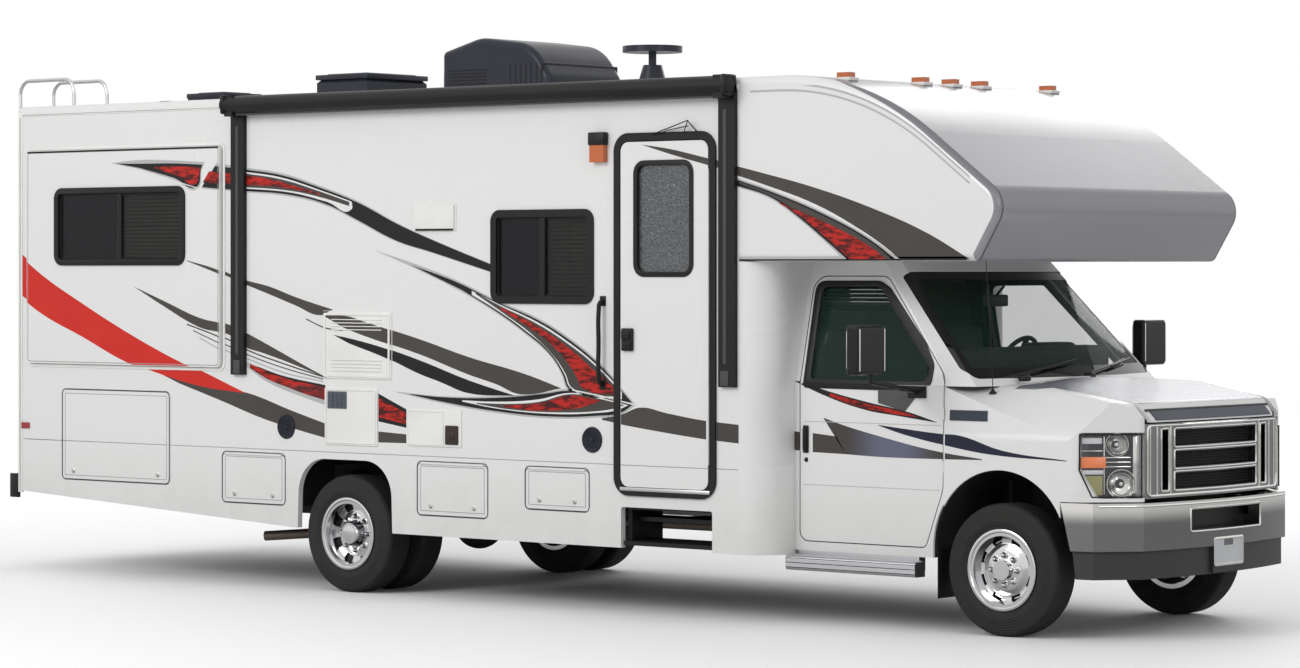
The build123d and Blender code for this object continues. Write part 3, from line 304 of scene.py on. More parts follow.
# %% Cab paint, white outside and dark trim inside
cab_paint = gelcoat("cab_gelcoat", white)
inward = cab_paint.node("ShaderNodeVectorMath", {"operation": "SUBTRACT"})
inward.made.inputs[0].default_value = (2.75, 0.0, 1.25)
plug(cab_paint.tree, inward.made.inputs[1], cab_paint.place)
facing = cab_paint.node("ShaderNodeVectorMath", {"operation": "DOT_PRODUCT"})
plug(cab_paint.tree, facing.made.inputs[0], inward.of("Vector"))
plug(cab_paint.tree, facing.made.inputs[1], cab_paint.node("ShaderNodeTexCoord").of("Normal"))
wheelhouse = (cab_paint.z < 1.05) * (cab_paint.y.size() < 0.985) * (cab_paint.x > 3.12)
inside = (facing.of("Value") > 0.12).most(wheelhouse)
cab_paint.tint(inside, cab_paint.dirty, (0.025, 0.025, 0.027))
cab_paint.feed("Roughness", 0.22 + inside * 0.6)

# %% Wings with a dark liner, and a hood with a painted sky reflection on its top
wing_paint = gelcoat("wing_gelcoat", white)
liner = (wing_paint.z < 1.12) * (wing_paint.y.size() < 0.986) * (wing_paint.x < 4.13)
wing_paint.tint(liner, wing_paint.dirty, (0.015, 0.015, 0.016))
hood_paint = gelcoat("hood_gelcoat", white)
upward = hood_paint.node("ShaderNodeSeparateXYZ",
    Vector=hood_paint.node("ShaderNodeTexCoord").of("Normal")).of("Z")
# Painted reflection: faces that turn up get a blue-grey base colour for the sky mirrored in the paint.
painted_sky_reflection_share = hood_paint.ramp(upward, 0.7, 0.95)
hood_paint.tint(painted_sky_reflection_share, hood_paint.dirty, (0.155, 0.165, 0.195))
hood_paint.feed("Coat Weight", 0.0)
hood_paint.feed("Specular IOR Level", 0.25)

# %% Other finishes
def plastic(name, colour, roughness, grain=160.0, depth=0.0004):
    finish = Finish(name, colour, roughness)
    fine = finish.noise(grain, 3.0)
    wear = finish.noise(3.0, 4.0, 0.6)
    finish.tint(wear * 0.6, colour, tuple(min(1, c * 1.35 + 0.004) for c in colour))
    finish.feed("Roughness", roughness - 0.08 + wear * 0.2)
    finish.bump(fine, depth, 0.5)
    finish.feed("Specular IOR Level", 0.22)
    return finish


def metal(name, colour, roughness, streak=None):
    finish = Finish(name, colour, roughness, 1.0)
    vector = finish.stretched(*streak) if streak else None
    marks = finish.noise(30.0, 5.0, 0.65, vector)
    finish.tint(marks * 0.4, colour, tuple(c * 0.75 for c in colour))
    finish.feed("Roughness", roughness * 0.7 + marks * roughness * 0.8)
    finish.bump(marks, 0.0002, 0.2)
    return finish


trim_black = plastic("black_trim", (0.01, 0.01, 0.011), 0.38)
trim_white = plastic("white_plastic", (0.72, 0.72, 0.7), 0.4)
chassis = plastic("chassis_paint", (0.02, 0.02, 0.02), 0.6, 60.0, 0.001)
tank_plastic = plastic("tank_plastic", (0.03, 0.03, 0.03), 0.7, 40.0, 0.001)
cast = plastic("cast_iron", (0.05, 0.048, 0.045), 0.75, 90.0, 0.0012)
cab_trim = plastic("cab_trim", (0.03, 0.029, 0.028), 0.75, 320.0, 0.0005)
roof_plastic = plastic("roof_unit", (0.022, 0.024, 0.034), 0.3)


def mirror_metal(name, flat, up, painted_road_shade):
    """Chrome with a painted reflection: the base colour is painted bright where it faces the sky, plain on
    vertical faces, and painted dark as shade where it faces the road.
    """
    finish = metal(name, flat, 0.12)
    turn = finish.node("ShaderNodeSeparateXYZ", Vector=finish.node("ShaderNodeTexCoord").of("Normal")).of("Z")
    painted_sky_reflection = finish.mix(finish.ramp(turn, 0.15, 0.8), flat, up)
    finish.tint(finish.ramp(turn, -0.1, -0.7), painted_sky_reflection, painted_road_shade)
    return finish


# Each chrome's second colour is a painted sky reflection on upward faces, and its third is a painted shade on
# downward faces.
chrome = mirror_metal("chrome", (0.3, 0.3, 0.31), (0.85, 0.84, 0.82), (0.06, 0.06, 0.065))
rim_chrome = mirror_metal("bright_chrome", (0.7, 0.69, 0.66), (0.9, 0.9, 0.88), (0.25, 0.25, 0.26))
wheel_chrome = mirror_metal("wheel_chrome", (0.62, 0.62, 0.63), (0.85, 0.85, 0.85), (0.1, 0.1, 0.11))
bright = metal("bright_aluminium", (0.6, 0.6, 0.62), 0.3, (1, 1, 12))
rusty = metal("exhaust_steel", (0.2, 0.17, 0.14), 0.55)


def glass(name, colour, alpha):
    finish = Finish(name, colour, 0.03, 0.0, 0.0, alpha)
    film = finish.noise(1.6, 3.0)
    finish.feed("Roughness", 0.02 + film * 0.05)
    finish.tint(film * 0.5, colour, tuple(c * 1.4 for c in colour))
    return finish


dark_glass = glass("tinted_glass", (0.012, 0.013, 0.015), 0.5)
dark_glass.feed("Specular IOR Level", 0.25)
cab_glass = glass("cab_glass", (0.02, 0.07, 0.05), 0.16)
lens_glass = glass("lamp_lens", (0.5, 0.52, 0.54), 0.12)

# %% Windshield: clear in the middle, a black printed border
shield = glass("windshield", (0.02, 0.07, 0.05), 0.16)
_, shield_y, shield_z = shield.axes()
side_edge = (shield_y.size() + (shield_z - 1.432) * 0.229) > 0.885
border = side_edge.most(shield_z < 1.49).most(shield_z > 1.985)
shield.tint(border, (0.02, 0.07, 0.05), (0.006, 0.006, 0.007))
shield.feed("Alpha", 0.16 + border * 0.84)

# %% Bumper: chrome with painted reflection and a painted highlight along its top, black moulding below
bumper_chrome = mirror_metal("bumper_chrome", (0.3, 0.3, 0.31), (0.85, 0.84, 0.82), (0.06, 0.06, 0.065))
bumper_z = bumper_chrome.axes()[2]
low_part = bumper_z < 0.502
# Painted highlight: the chrome's base colour turns bright towards the bumper's top edge.
painted_top_highlight = bumper_chrome.ramp(bumper_z, 0.64, 0.74)
chrome_with_painted_highlight = bumper_chrome.mix(painted_top_highlight, (0.2, 0.2, 0.205), (0.8, 0.79, 0.76))
bumper_chrome.tint(low_part, chrome_with_painted_highlight, (0.02, 0.02, 0.022))
bumper_chrome.feed("Metallic", 1.0 - low_part)
bumper_chrome.feed("Roughness", 0.12 + low_part * 0.4)

# %% Lamps: amber, but red at the rear
tail = Finish("lamp_lenses", (0.75, 0.2, 0.012), 0.12, 0.0, 0.6)
tail_x, _, tail_z = tail.axes()
tail.tint(tail_x < -4.0, (0.52, 0.11, 0.01), (0.32, 0.008, 0.008))
tail.bump((tail_z * 900.0).wave(), 0.0006, 0.4)
gloss_black = plastic("gloss_black", (0.012, 0.012, 0.013), 0.14, 200.0, 0.0001)

# %% Tyre rubber: rings on the sidewall, blocks on the tread
rubber = Finish("tyre_rubber", (0.022, 0.022, 0.022), 0.7)
rubber.feed("Specular IOR Level", 0.2)
dust = rubber.noise(9.0, 5.0, 0.65)
rubber.tint(dust * 0.7, (0.014, 0.014, 0.015), (0.05, 0.047, 0.043))
rubber.feed("Roughness", 0.55 + dust * 0.3)
tyre_x, tyre_y, tyre_z = rubber.axes()
axle = (tyre_x > 1.0) * (axle_x["front"] - axle_x["rear"]) + axle_x["rear"]
from_axle = tyre_x - axle
up = tyre_z - hub_height
reach = (from_axle * from_axle + up * up).math("SQRT")
sidewall = (reach * 420.0).wave() * (reach < 0.345) * (reach > 0.25)
blocks = (up.math("ARCTAN2", from_axle) * 64.0 + (tyre_y * 70.0).wave() * 1.4).wave() > 0.35
grooves = (tyre_y * 130.0).wave() > 0.8
tread = (1.0 - blocks.most(grooves)) * (reach > 0.358)
rubber.bump(rubber.noise(260.0, 3.0) * 0.12 + sidewall * 0.35 + tread * 1.2, 0.004, 0.8)

# %% Nose cap: silver in front with painted shade, white at the sides, board within
cap_paint = gelcoat("nose_cap", white)
facing = cap_paint.node("ShaderNodeSeparateXYZ", Vector=cap_paint.node("ShaderNodeTexCoord").of("Normal"))
on_top = (facing.of("Z") > 0.45) * (cap_paint.x > 2.2) * (cap_paint.y.size() < 1.236)
front = ((facing.of("X") > 0.22) * (cap_paint.y.size() < 1.2699)).most(on_top)
# Painted shade: a thin dark line along the creases at the side edges of the silver.
painted_crease_shade = (cap_paint.y.size() > 1.222) * (cap_paint.y.size() < 1.236) * front
inner = (cap_paint.y.size() < 1.235) * (facing.of("X") < 0.22) * (cap_paint.z > 2.13)
lined = cap_paint.mix(inner, cap_paint.dirty, (0.36, 0.3, 0.23))
# Painted shade: the silver is lighter on faces that turn down and darker on faces that turn up, to even out
# the light that falls on them.
silver_with_painted_shade = cap_paint.mix(cap_paint.ramp(facing.of("Z"), -0.45, 0.1), (0.31, 0.31, 0.33), (0.235, 0.237, 0.258))
silver_with_painted_shade = cap_paint.mix(cap_paint.ramp(facing.of("Z"), 0.25, 0.8), silver_with_painted_shade, (0.165, 0.168, 0.185))
silver_with_painted_shade = cap_paint.mix(painted_crease_shade, silver_with_painted_shade, (0.09, 0.09, 0.1))
cap_paint.tint(front, lined, silver_with_painted_shade)
cap_paint.feed("Coat Weight", 0.05)

# %% Slide-out room: white outside, board within
slide_paint = gelcoat("slide_room", white)
indoors = slide_paint.y > -1.27
slide_paint.tint(indoors, slide_paint.dirty, (0.36, 0.3, 0.23))

# %% Pebbled glass of the entry door
pebbled = Finish("pebbled_glass", (0.05, 0.052, 0.055), 0.15, 0.0, 0.3)
pebbles = pebbled.node("ShaderNodeTexVoronoi", {"feature": "SMOOTH_F1"}, Vector=pebbled.place, Scale=70.0)
pebbled.tint(pebbles.of("Distance"), (0.03, 0.032, 0.035), (0.16, 0.165, 0.17))
pebbled.bump(pebbles.of("Distance"), 0.004, 1.0)

# %% Dress the CAD nodes
finishes = {
    "body_white": paint, "panel_white": trim_white, "frame_black": trim_black,
    "chassis_black": chassis, "cast_axle": cast, "engine_block": cast, "exhaust_steel": rusty,
    "tank_plastic": tank_plastic, "floor_board": tank_plastic, "tinted_glass": dark_glass,
    "clear_glass": cab_glass, "lamp_clear": lens_glass, "chrome_trim": chrome, "wheel_chrome": wheel_chrome,
    "tyre_rubber": rubber, "cab_trim": cab_trim, "roof_unit": roof_plastic, "bright_aluminium": bright,
    "lamp_amber": tail,
}
node_finish = {
    "right_wall": wall_paint, "left_wall": wall_paint, "rear_wall": wall_paint, "roof": wall_paint,
    "overcab_cap": cap_paint, "cab_shell": cab_paint, "cab_door_right": cab_paint, "cab_door_left": cab_paint,
    "entry_door_window": pebbled, "awning": trim_black, "running_boards": bright, "slide_room": slide_paint,
    "front_wings": wing_paint, "hood": hood_paint, "windshield": shield,
    "front_bumper": bumper_chrome, "mirror_right": gloss_black, "mirror_left": gloss_black,
}
for part in frame["record"]["subparts"]:
    node = nodes[part["node"]]
    chosen = node_finish.get(part["node"], finishes[part["material_slot"]])
    node.data.materials.clear()
    node.data.materials.append(chosen.material)
print("dressed", len(nodes), "nodes")

# %% [markdown]
# ## Modelling helpers
# The operators below work on what is selected, so each helper first selects one piece alone.
# `finished` puts a piece's place into its mesh, turns its faces outwards and lets it ride on a body.
# Flat outlines are filled curves, because a curve gives a clean edge and its own rounded rim.

# %% Selecting, applying and finishing
made_with = {}
weld = 0.00002


def alone(piece):
    bpy.ops.object.select_all(action="DESELECT")
    piece.select_set(True)
    bpy.context.view_layer.objects.active = piece


@contextmanager
def editing(piece):
    """Edit mode, with all of the piece selected."""
    alone(piece)
    bpy.ops.object.mode_set(mode="EDIT")
    bpy.ops.mesh.select_all(action="SELECT")
    yield
    bpy.ops.object.mode_set(mode="OBJECT")


def modified(piece, kind, **settings):
    alone(piece)
    modifier = piece.modifiers.new(kind.lower(), kind)
    for key, value in settings.items():
        setattr(modifier, key, value)
    bpy.ops.object.modifier_apply(modifier=modifier.name)
    return piece


def row_of(piece, count, step):
    """The piece repeated in a row, each copy one step on."""
    return modified(piece, "ARRAY", count=count, use_relative_offset=False,
                    use_constant_offset=True, constant_offset_displace=step)


def in_mesh(piece):
    alone(piece)
    if piece.type != "MESH":
        bpy.ops.object.convert(target="MESH")
        piece = bpy.context.object
    bpy.ops.object.transform_apply(location=True, rotation=True, scale=True)
    return piece


def finished(piece, name, body, slot, finish, angle=35):
    piece = in_mesh(piece)
    piece.name = piece.data.name = name
    with editing(piece):
        bpy.ops.mesh.remove_doubles(threshold=weld)
        bpy.ops.mesh.normals_make_consistent(inside=False)
    bpy.ops.object.shade_smooth_by_angle(angle=radians(angle))
    piece.data.materials.clear()
    piece.data.materials.append(finish.material)
    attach(piece, body)
    made_with[name] = (slot, finish, angle)
    return piece


def joined(pieces):
    pieces = [in_mesh(piece) for piece in pieces]
    alone(pieces[0])
    for piece in pieces:
        piece.select_set(True)
    if len(pieces) > 1:
        bpy.ops.object.join()
    return bpy.context.object


def black(name, *pieces, body="coach"):
    finished(joined(pieces), name, body, "frame_black", trim_black)


def shiny(name, *pieces, body="coach"):
    finished(joined(pieces), name, body, "chrome_trim", rim_chrome)


def pale(name, *pieces):
    finished(joined(pieces), name, "coach", "panel_white", trim_white)


def copied(piece, move=(0, 0, 0), turn=None, scale=(1, 1, 1)):
    """A copy with its own mesh; turn is a rotation matrix about the frame's origin."""
    made = bpy.data.objects.new(piece.name + "_copy", piece.data.copy())
    bpy.context.collection.objects.link(made)
    made.matrix_world = Matrix.Translation(move) @ (turn or Matrix()) @ Matrix.Diagonal((*scale, 1))
    return made


def other_side(piece, name, body):
    """The same piece on the driver's side."""
    return finished(copied(piece, scale=(1, -1, 1)), name, body, *made_with[piece.name])


# %% Solid starts: a bevelled block, a tube along points, a turned profile
def block(low, high, rounded=0.004, segments=3):
    low, high = Vector(low), Vector(high)
    bpy.ops.object.select_all(action="DESELECT")
    bpy.ops.mesh.primitive_cube_add(size=1, location=(low + high) / 2)
    piece = bpy.context.object
    piece.scale = high - low
    in_mesh(piece)
    with editing(piece):
        bpy.ops.mesh.bevel(offset=rounded, segments=segments, affect="EDGES", clamp_overlap=True)
    return piece


def curve_of(loops, kind="POLY", closed=True):
    curve = bpy.data.curves.new("line", "CURVE")
    curve.dimensions = "3D"
    for loop in loops:
        spline = curve.splines.new(kind)
        if kind == "BEZIER":
            spline.bezier_points.add(len(loop) - 1)
            spline.resolution_u = 6
            for point, place in zip(spline.bezier_points, loop):
                point.co = (*place, 0)[:3]
                point.handle_left_type = point.handle_right_type = "AUTO"
        else:
            spline.points.add(len(loop) - 1)
            for point, place in zip(spline.points, loop):
                point.co = (*(*place, 0)[:3], 1)
        spline.use_cyclic_u = closed
    piece = bpy.data.objects.new("line", curve)
    bpy.context.collection.objects.link(piece)
    return piece


def tube(points, radius, smooth=False, closed=False, sides=3):
    piece = curve_of([points], "BEZIER" if smooth else "POLY", closed)
    piece.data.bevel_depth = radius
    piece.data.bevel_resolution = sides
    piece.data.use_fill_caps = not closed
    return in_mesh(piece)


def turned(profile, place, aim="Y", steps=64):
    """Spin (radius, along) about an axis through place; along grows towards +aim."""
    piece = in_mesh(curve_of([[(radius, 0, along) for radius, along in profile]], closed=False))
    with editing(piece):
        bpy.ops.mesh.spin(steps=steps, angle=2 * pi, center=(0, 0, 0), axis=(0, 0, 1))
        bpy.ops.mesh.remove_doubles(threshold=0.0001)
    turns = {"X": (0, pi / 2, 0), "-X": (0, -pi / 2, 0), "Y": (-pi / 2, 0, 0), "-Y": (pi / 2, 0, 0),
             "Z": (0, 0, 0)}
    piece.rotation_euler = turns[aim]
    piece.location = place
    return in_mesh(piece)


# %% Flat plates on a wall
facings = {"right": (pi / 2, 0, 0), "left": (pi / 2, 0, pi),
           "front": (pi / 2, 0, pi / 2), "rear": (pi / 2, 0, -pi / 2)}


def plate(loops, side, near, far, rim=0.0, kind="POLY"):
    """A flat piece on the side named, from near to far (distances from the centre plane)."""
    if side in ("left", "rear"):
        loops = [[(-x, z) for x, z in loop] for loop in loops]
    piece = curve_of(loops, kind)
    curve = piece.data
    curve.dimensions = "2D"
    curve.fill_mode = "BOTH"
    curve.extrude = (far - near) / 2 - rim
    curve.bevel_depth = rim
    curve.bevel_resolution = 2
    curve.offset = -rim
    piece.rotation_euler = facings[side]
    middle = (near + far) / 2
    places = {"right": (0, -middle, 0), "left": (0, middle, 0),
              "front": (middle, 0, 0), "rear": (-middle, 0, 0)}
    piece.location = places[side]
    return in_mesh(piece)


def rounded(x0, x1, z0, z1, radius, steps=6):
    """A rectangle's outline with round corners."""
    points = []
    corners = ((x1, z1, 0), (x0, z1, 90), (x0, z0, 180), (x1, z0, 270))
    for x, z, start in corners:
        centre_x = x - radius if x == x1 else x + radius
        centre_z = z - radius if z == z1 else z + radius
        for step in range(steps + 1):
            angle = radians(start + 90 * step / steps)
            points.append((centre_x + radius * cos(angle), centre_z + radius * sin(angle)))
    return points


def ring(outline_args, side, near, far, outside, inside, rim=0.002):
    """A frame round an opening: outside and inside are how far it reaches past the outline."""
    x0, x1, z0, z1, radius = outline_args
    outer = rounded(x0 - outside, x1 + outside, z0 - outside, z1 + outside, radius + outside)
    inner = rounded(x0 + inside, x1 - inside, z0 + inside, z1 - inside, max(radius - inside, 0.004))
    return plate([outer, inner], side, near, far, rim)


# %% [markdown]
# ## Windows and blinds
# Behind each dark pane hangs a pleated blind: one slat is modelled and an array repeats it. A black
# centre bar parts the sliding pane, and the half with the insect screen looks darker.

# %% Window finishes
blind = plastic("blind", (0.2, 0.21, 0.115), 0.6, 80.0)
shade = blind.noise(2.2, 2.0)
blind.tint(shade, (0.13, 0.14, 0.075), (0.3, 0.31, 0.19))
screen = Finish("insect_screen", (0.01, 0.01, 0.011), 0.7, alpha=0.8)


def window_fittings(name, body, side, outline_args, glass, outward):
    """Centre bar, insect screen and blind for one window; glass is the pane's inner plane."""
    x0, x1, z0, z1, radius = outline_args
    middle = (x0 + x1) / 2
    facing_side = 1 if side == "left" else -1
    bar = plate([rounded(middle - 0.021, middle + 0.021, z0 + 0.02, z1 - 0.02, 0.004)], side, glass,
        outward, 0.002)
    edge = ring((x0 + 0.03, x1 - 0.03, z0 + 0.03, z1 - 0.03, max(radius - 0.03, 0.01)), side,
                glass + 0.006, glass + 0.013, 0.0, 0.014, 0.001)
    finished(joined([bar, edge]), name + "_bar", body, "frame_black", trim_black)
    half_pane = rounded(x0 + 0.022, middle, z0 + 0.022, z1 - 0.022, 0.03)
    mesh_pane = plate([half_pane], side, glass - 0.012, glass - 0.01)
    finished(mesh_pane, name + "_screen", body, "tinted_glass", screen)
    pitch = 0.026
    count = int((z1 - z0 - 0.06) / pitch)
    first = (z0 + z1) / 2 - pitch * (count - 1) / 2
    if side == "rear":
        slat = block((-glass + 0.02, x0 + 0.028, first - 0.012),
            (-glass + 0.024, x1 - 0.028, first + 0.008), 0.0012, 1)
    else:
        low_y, high_y = sorted((facing_side * (glass - 0.024), facing_side * (glass - 0.02)))
        slat = block((x0 + 0.028, low_y, first - 0.012), (x1 - 0.028, high_y, first + 0.008), 0.0012, 1)
    row_of(slat, count, (0, 0, pitch))
    finished(slat, name + "_blind", body, "cab_trim", blind)


# %% Windows of the right side
window_fittings("right_window", "coach", "right", (0.074, 0.878, 1.852, 2.400, 0.06), 1.252, 1.272)
window_fittings("slide_window", "slide_room", "right", (-3.901, -2.638, 2.087, 2.588, 0.06), 1.279, 1.300)
slide_ring = ring((-3.901, -2.638, 2.087, 2.588, 0.06), "right", 1.2885, 1.313, 0.012, 0.03, 0.004)
black("slide_window_frame", slide_ring, body="slide_room")
print("windows fitted")

# %% Windows of the driver's side and the rear
window_fittings("left_window_rear", "coach", "left", (-3.695, -2.895, 1.950, 2.450, 0.06), 1.252, 1.272)
window_fittings("left_window_middle", "coach", "left", (-1.495, -0.495, 1.900, 2.450, 0.06), 1.252, 1.272)
window_fittings("left_window_front", "coach", "left", (0.335, 1.435, 1.780, 2.450, 0.06), 1.252, 1.272)
window_fittings("rear_window", "coach", "rear", (-0.550, 0.550, 1.780, 2.380, 0.06), 4.297, 4.317)

# %% [markdown]
# ## Entry door
# The leaf keeps its flat white skin. A black ring frames the pebbled pane, the lock is a black box
# with a paddle, and a bent handrail helps a person up the step.

# %% Door ring, lock and handrail
door_ring = ring((1.229, 1.650, 2.022, 2.676, 0.06), "right", 1.268, 1.291, 0.018, 0.012, 0.003)
black("entry_door_window_ring", door_ring, body="entry_door")
lock_box = block((1.128, -1.306, 1.565), (1.212, -1.2825, 1.70), 0.008)
paddle = block((1.138, -1.319, 1.635), (1.202, -1.303, 1.69), 0.006)
key_plate = block((1.142, -1.311, 1.575), (1.198, -1.303, 1.622), 0.004)
barrel_round = turned([(0.0, 0.0), (0.011, 0.0), (0.011, 0.012), (0.0, 0.012)],
    (1.17, -1.303, 1.598), "-Y", 24)
black("entry_door_lock", lock_box, paddle, key_plate, barrel_round, body="entry_door")
rail = [(0.962, -1.272, 1.36), (0.962, -1.30, 1.37), (0.962, -1.312, 1.42), (0.962, -1.313, 1.61),
    (0.962, -1.312, 1.80), (0.962, -1.30, 1.85), (0.962, -1.272, 1.86)]
handrail = tube(rail, 0.0135, smooth=True)
feet = [block((0.94, -1.277, z - 0.03), (0.984, -1.269, z + 0.03), 0.003) for z in (1.36, 1.86)]
black("entry_handrail", handrail, *feet)

# %% [markdown]
# ## Service panels
# Vents, hatches and speakers sit on the wall in thin flanges. Each is built again from plates, bars
# and rings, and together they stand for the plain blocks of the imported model.

# %% Vent and hatch plates
def flange(box, proud, side="right"):
    """A thin plate on the wall, standing proud of its skin."""
    return plate([rounded(*box, 0.012)], side, wall_skin - 0.0005, wall_skin + proud, 0.003)


def louvres(box, count, near, far, side="right", thick=0.006):
    """Level slats in a row between z0 and z1."""
    x0, x1, z0, z1 = box
    pitch = (z1 - z0) / count
    low, high = sorted((-near, -far)) if side == "right" else sorted((near, far))
    slat = block((x0, low, z0 + pitch * 0.2), (x1, high, z0 + pitch * 0.2 + thick), 0.0015, 1)
    return row_of(slat, count, (0, 0, pitch))


fridge = flange((-1.381, -0.778, 1.356, 1.784), 0.008)
fridge_rim = ring((-1.370, -0.789, 1.367, 1.773, 0.012), "right", 1.277, 1.284, 0.0, 0.016, 0.002)
fridge_slats = louvres((-1.30, -0.86, 1.66, 1.745), 4, 1.277, 1.285)
fridge_low = louvres((-1.30, -0.86, 1.40, 1.49), 4, 1.277, 1.285)
pale("fridge_vent", fridge, fridge_rim, fridge_slats, fridge_low)

furnace = flange((-1.363, -0.900, 0.935, 1.300), 0.009)
furnace_rim = ring((-1.352, -0.911, 0.946, 1.289, 0.012), "right", 1.278, 1.284, 0.0, 0.008, 0.002)
pale("furnace_door", furnace, furnace_rim)
grid_plate = plate([rounded(-1.335, -1.165, 1.165, 1.275, 0.006)], "right", 1.278, 1.2815, 0.001)
grid_slats = louvres((-1.33, -1.17, 1.17, 1.27), 7, 1.281, 1.288, thick=0.005)
grid_posts = [block((x - 0.002, -1.288, 1.17), (x + 0.002, -1.281, 1.27), 0.001, 1)
              for x in (-1.29, -1.25, -1.21)]
grid_grey = plastic("grid_grey", (0.1, 0.115, 0.14), 0.5)
finished(joined([grid_plate, grid_slats, *grid_posts]), "furnace_grid", "coach", "frame_black", grid_grey)

outlet = flange((-0.649, -0.183, 0.948, 1.180), 0.008)
outlet_rim = ring((-0.640, -0.330, 0.957, 1.171, 0.01), "right", 1.277, 1.282, 0.0, 0.007, 0.002)
pale("outlet_panel", outlet, outlet_rim)
outlet_door = plate([rounded(-0.313, -0.205, 0.965, 1.083, 0.008)], "right", 1.277, 1.286, 0.003)
outlet_cover = turned([(0.0, 0.0), (0.03, 0.0), (0.03, 0.004), (0.024, 0.007), (0.0, 0.008)],
    (-0.259, -1.285, 1.024), "-Y", 32)
brown = plastic("outlet_brown", (0.035, 0.024, 0.018), 0.45)
finished(joined([outlet_door, outlet_cover]), "outlet_cover", "coach", "frame_black", brown)

hood_vent = flange((-0.585, -0.230, 2.285, 2.455), 0.006)
hood_lip = block((-0.575, -1.288, 2.30), (-0.24, -1.2755, 2.445), 0.006)
pale("range_vent", hood_vent, hood_lip)
vent_mouth = block((-0.565, -1.2865, 2.289), (-0.25, -1.277, 2.3005), 0.002, 1)
black("range_vent_mouth", vent_mouth)

# %% Speakers
def speaker(x, z):
    bowl = turned([(0.0, 0.004), (0.05, 0.004), (0.062, 0.006), (0.066, 0.011), (0.074, 0.011),
        (0.078, 0.004), (0.078, 0.0), (0.0, 0.0)], (x, -1.2698, z), "-Y")
    slats = louvres((x - 0.05, x + 0.05, z - 0.05, z + 0.05), 9, 1.274, 1.2785, thick=0.003)
    knob = turned([(0.0, 0.012), (0.014, 0.011), (0.018, 0.004), (0.018, 0.0)], (x, -1.2698, z), "-Y", 24)
    return [bowl, slats, knob]


navy = plastic("speaker_navy", (0.014, 0.017, 0.026), 0.4)
finished(joined(speaker(-1.714, 1.037) + speaker(0.877, 1.029)), "speakers", "coach", "frame_black", navy)

# %% Hatches on the driver's side
left_hatches = [flange(box, proud, "left") for box, proud in (
    ((-2.595, -2.095, 0.950, 1.330), 0.008),
    ((-0.295, -0.045, 1.000, 1.200), 0.007),
    ((1.335, 1.655, 1.000, 1.300), 0.007))]
left_rims = [ring(box, "left", 1.2765, far, 0.0, 0.008, 0.002) for box, far in (
    ((-2.582, -2.108, 0.963, 1.317, 0.012), 1.284),
    ((-0.285, -0.055, 1.010, 1.190, 0.01), 1.282),
    ((1.347, 1.643, 1.012, 1.288, 0.01), 1.282))]
heater_slats = louvres((-2.54, -2.15, 1.00, 1.18), 8, 1.277, 1.284, "left")
hatches = finished(joined([*left_hatches, *left_rims, heater_slats]),
    "left_hatches", "coach", "panel_white", trim_white)
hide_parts("service_panels")
print("service panels done")

# %% [markdown]
# ## Wheels
# A bright cover hides each steel wheel: a turned bowl with hand holes, a hub dome and eight nuts.
# The twin wheels at the back show the deep dish of the outer rim, and the front ones a shallow one.

# %% One wheel cover
def wheel_cover(profile, hole_ring, nut_place):
    """A cover round the Z axis, outboard upwards; hole_ring is (r0, r1), nut_place (r, height)."""
    steps = 64
    bowl = turned(profile, (0, 0, 0), "Z", steps)
    alone(bowl)
    bowl.data.materials.append(chrome.material)
    bowl.data.materials.append(trim_black.material)
    bpy.ops.object.mode_set(mode="EDIT")
    bpy.ops.mesh.select_all(action="DESELECT")
    bpy.ops.object.mode_set(mode="OBJECT")
    for face in bowl.data.polygons:
        x, y, z = face.center
        step = int(degrees(atan2(y, x)) % 45 / (360 / steps))
        face.select = step in (2, 3, 4, 5) and hole_ring[0] < hypot(x, y) < hole_ring[1]
    bpy.ops.object.mode_set(mode="EDIT")
    bpy.ops.mesh.extrude_region_move(TRANSFORM_OT_translate={"value": (0, 0, -0.016)})
    bowl.active_material_index = 1
    bpy.ops.object.material_slot_assign()
    bpy.ops.object.mode_set(mode="OBJECT")
    radius, height = nut_place
    nut = turned([(0.0, 0.032), (0.008, 0.031), (0.0145, 0.022), (0.0155, 0.004), (0.021, 0.001),
        (0.021, -0.006)], (radius, 0, height), "Z", 18)
    nuts = [copied(nut, turn=Matrix.Rotation(radians(45 * number), 4, "Z")) for number in range(8)]
    bpy.data.objects.remove(nut)
    return joined([bowl, *nuts])


front_profile = [(0.222, 0.094), (0.230, 0.098), (0.229, 0.103), (0.221, 0.106), (0.211, 0.104),
    (0.205, 0.096), (0.200, 0.078), (0.192, 0.060), (0.184, 0.053), (0.150, 0.046), (0.142, 0.048),
    (0.122, 0.062), (0.106, 0.066), (0.058, 0.068), (0.050, 0.072), (0.045, 0.092), (0.038, 0.102),
    (0.024, 0.1065), (0.0, 0.1075)]
rear_profile = [(0.222, 0.094), (0.230, 0.098), (0.229, 0.103), (0.221, 0.106), (0.211, 0.104),
    (0.203, 0.094), (0.1975, 0.074), (0.194, 0.030), (0.186, 0.020), (0.150, 0.014), (0.142, 0.014),
    (0.118, 0.020), (0.098, 0.022), (0.084, 0.024), (0.080, 0.030), (0.076, 0.070), (0.066, 0.086),
    (0.046, 0.092), (0.0, 0.093)]
covers = (
    ("front", wheel_cover(front_profile, (0.151, 0.183), (0.084, 0.066)), axle_x["front"], 0.8815, 0.042),
    ("rear", wheel_cover(rear_profile, (0.151, 0.185), (0.108, 0.021)), axle_x["rear"], 1.1405, 0.010))
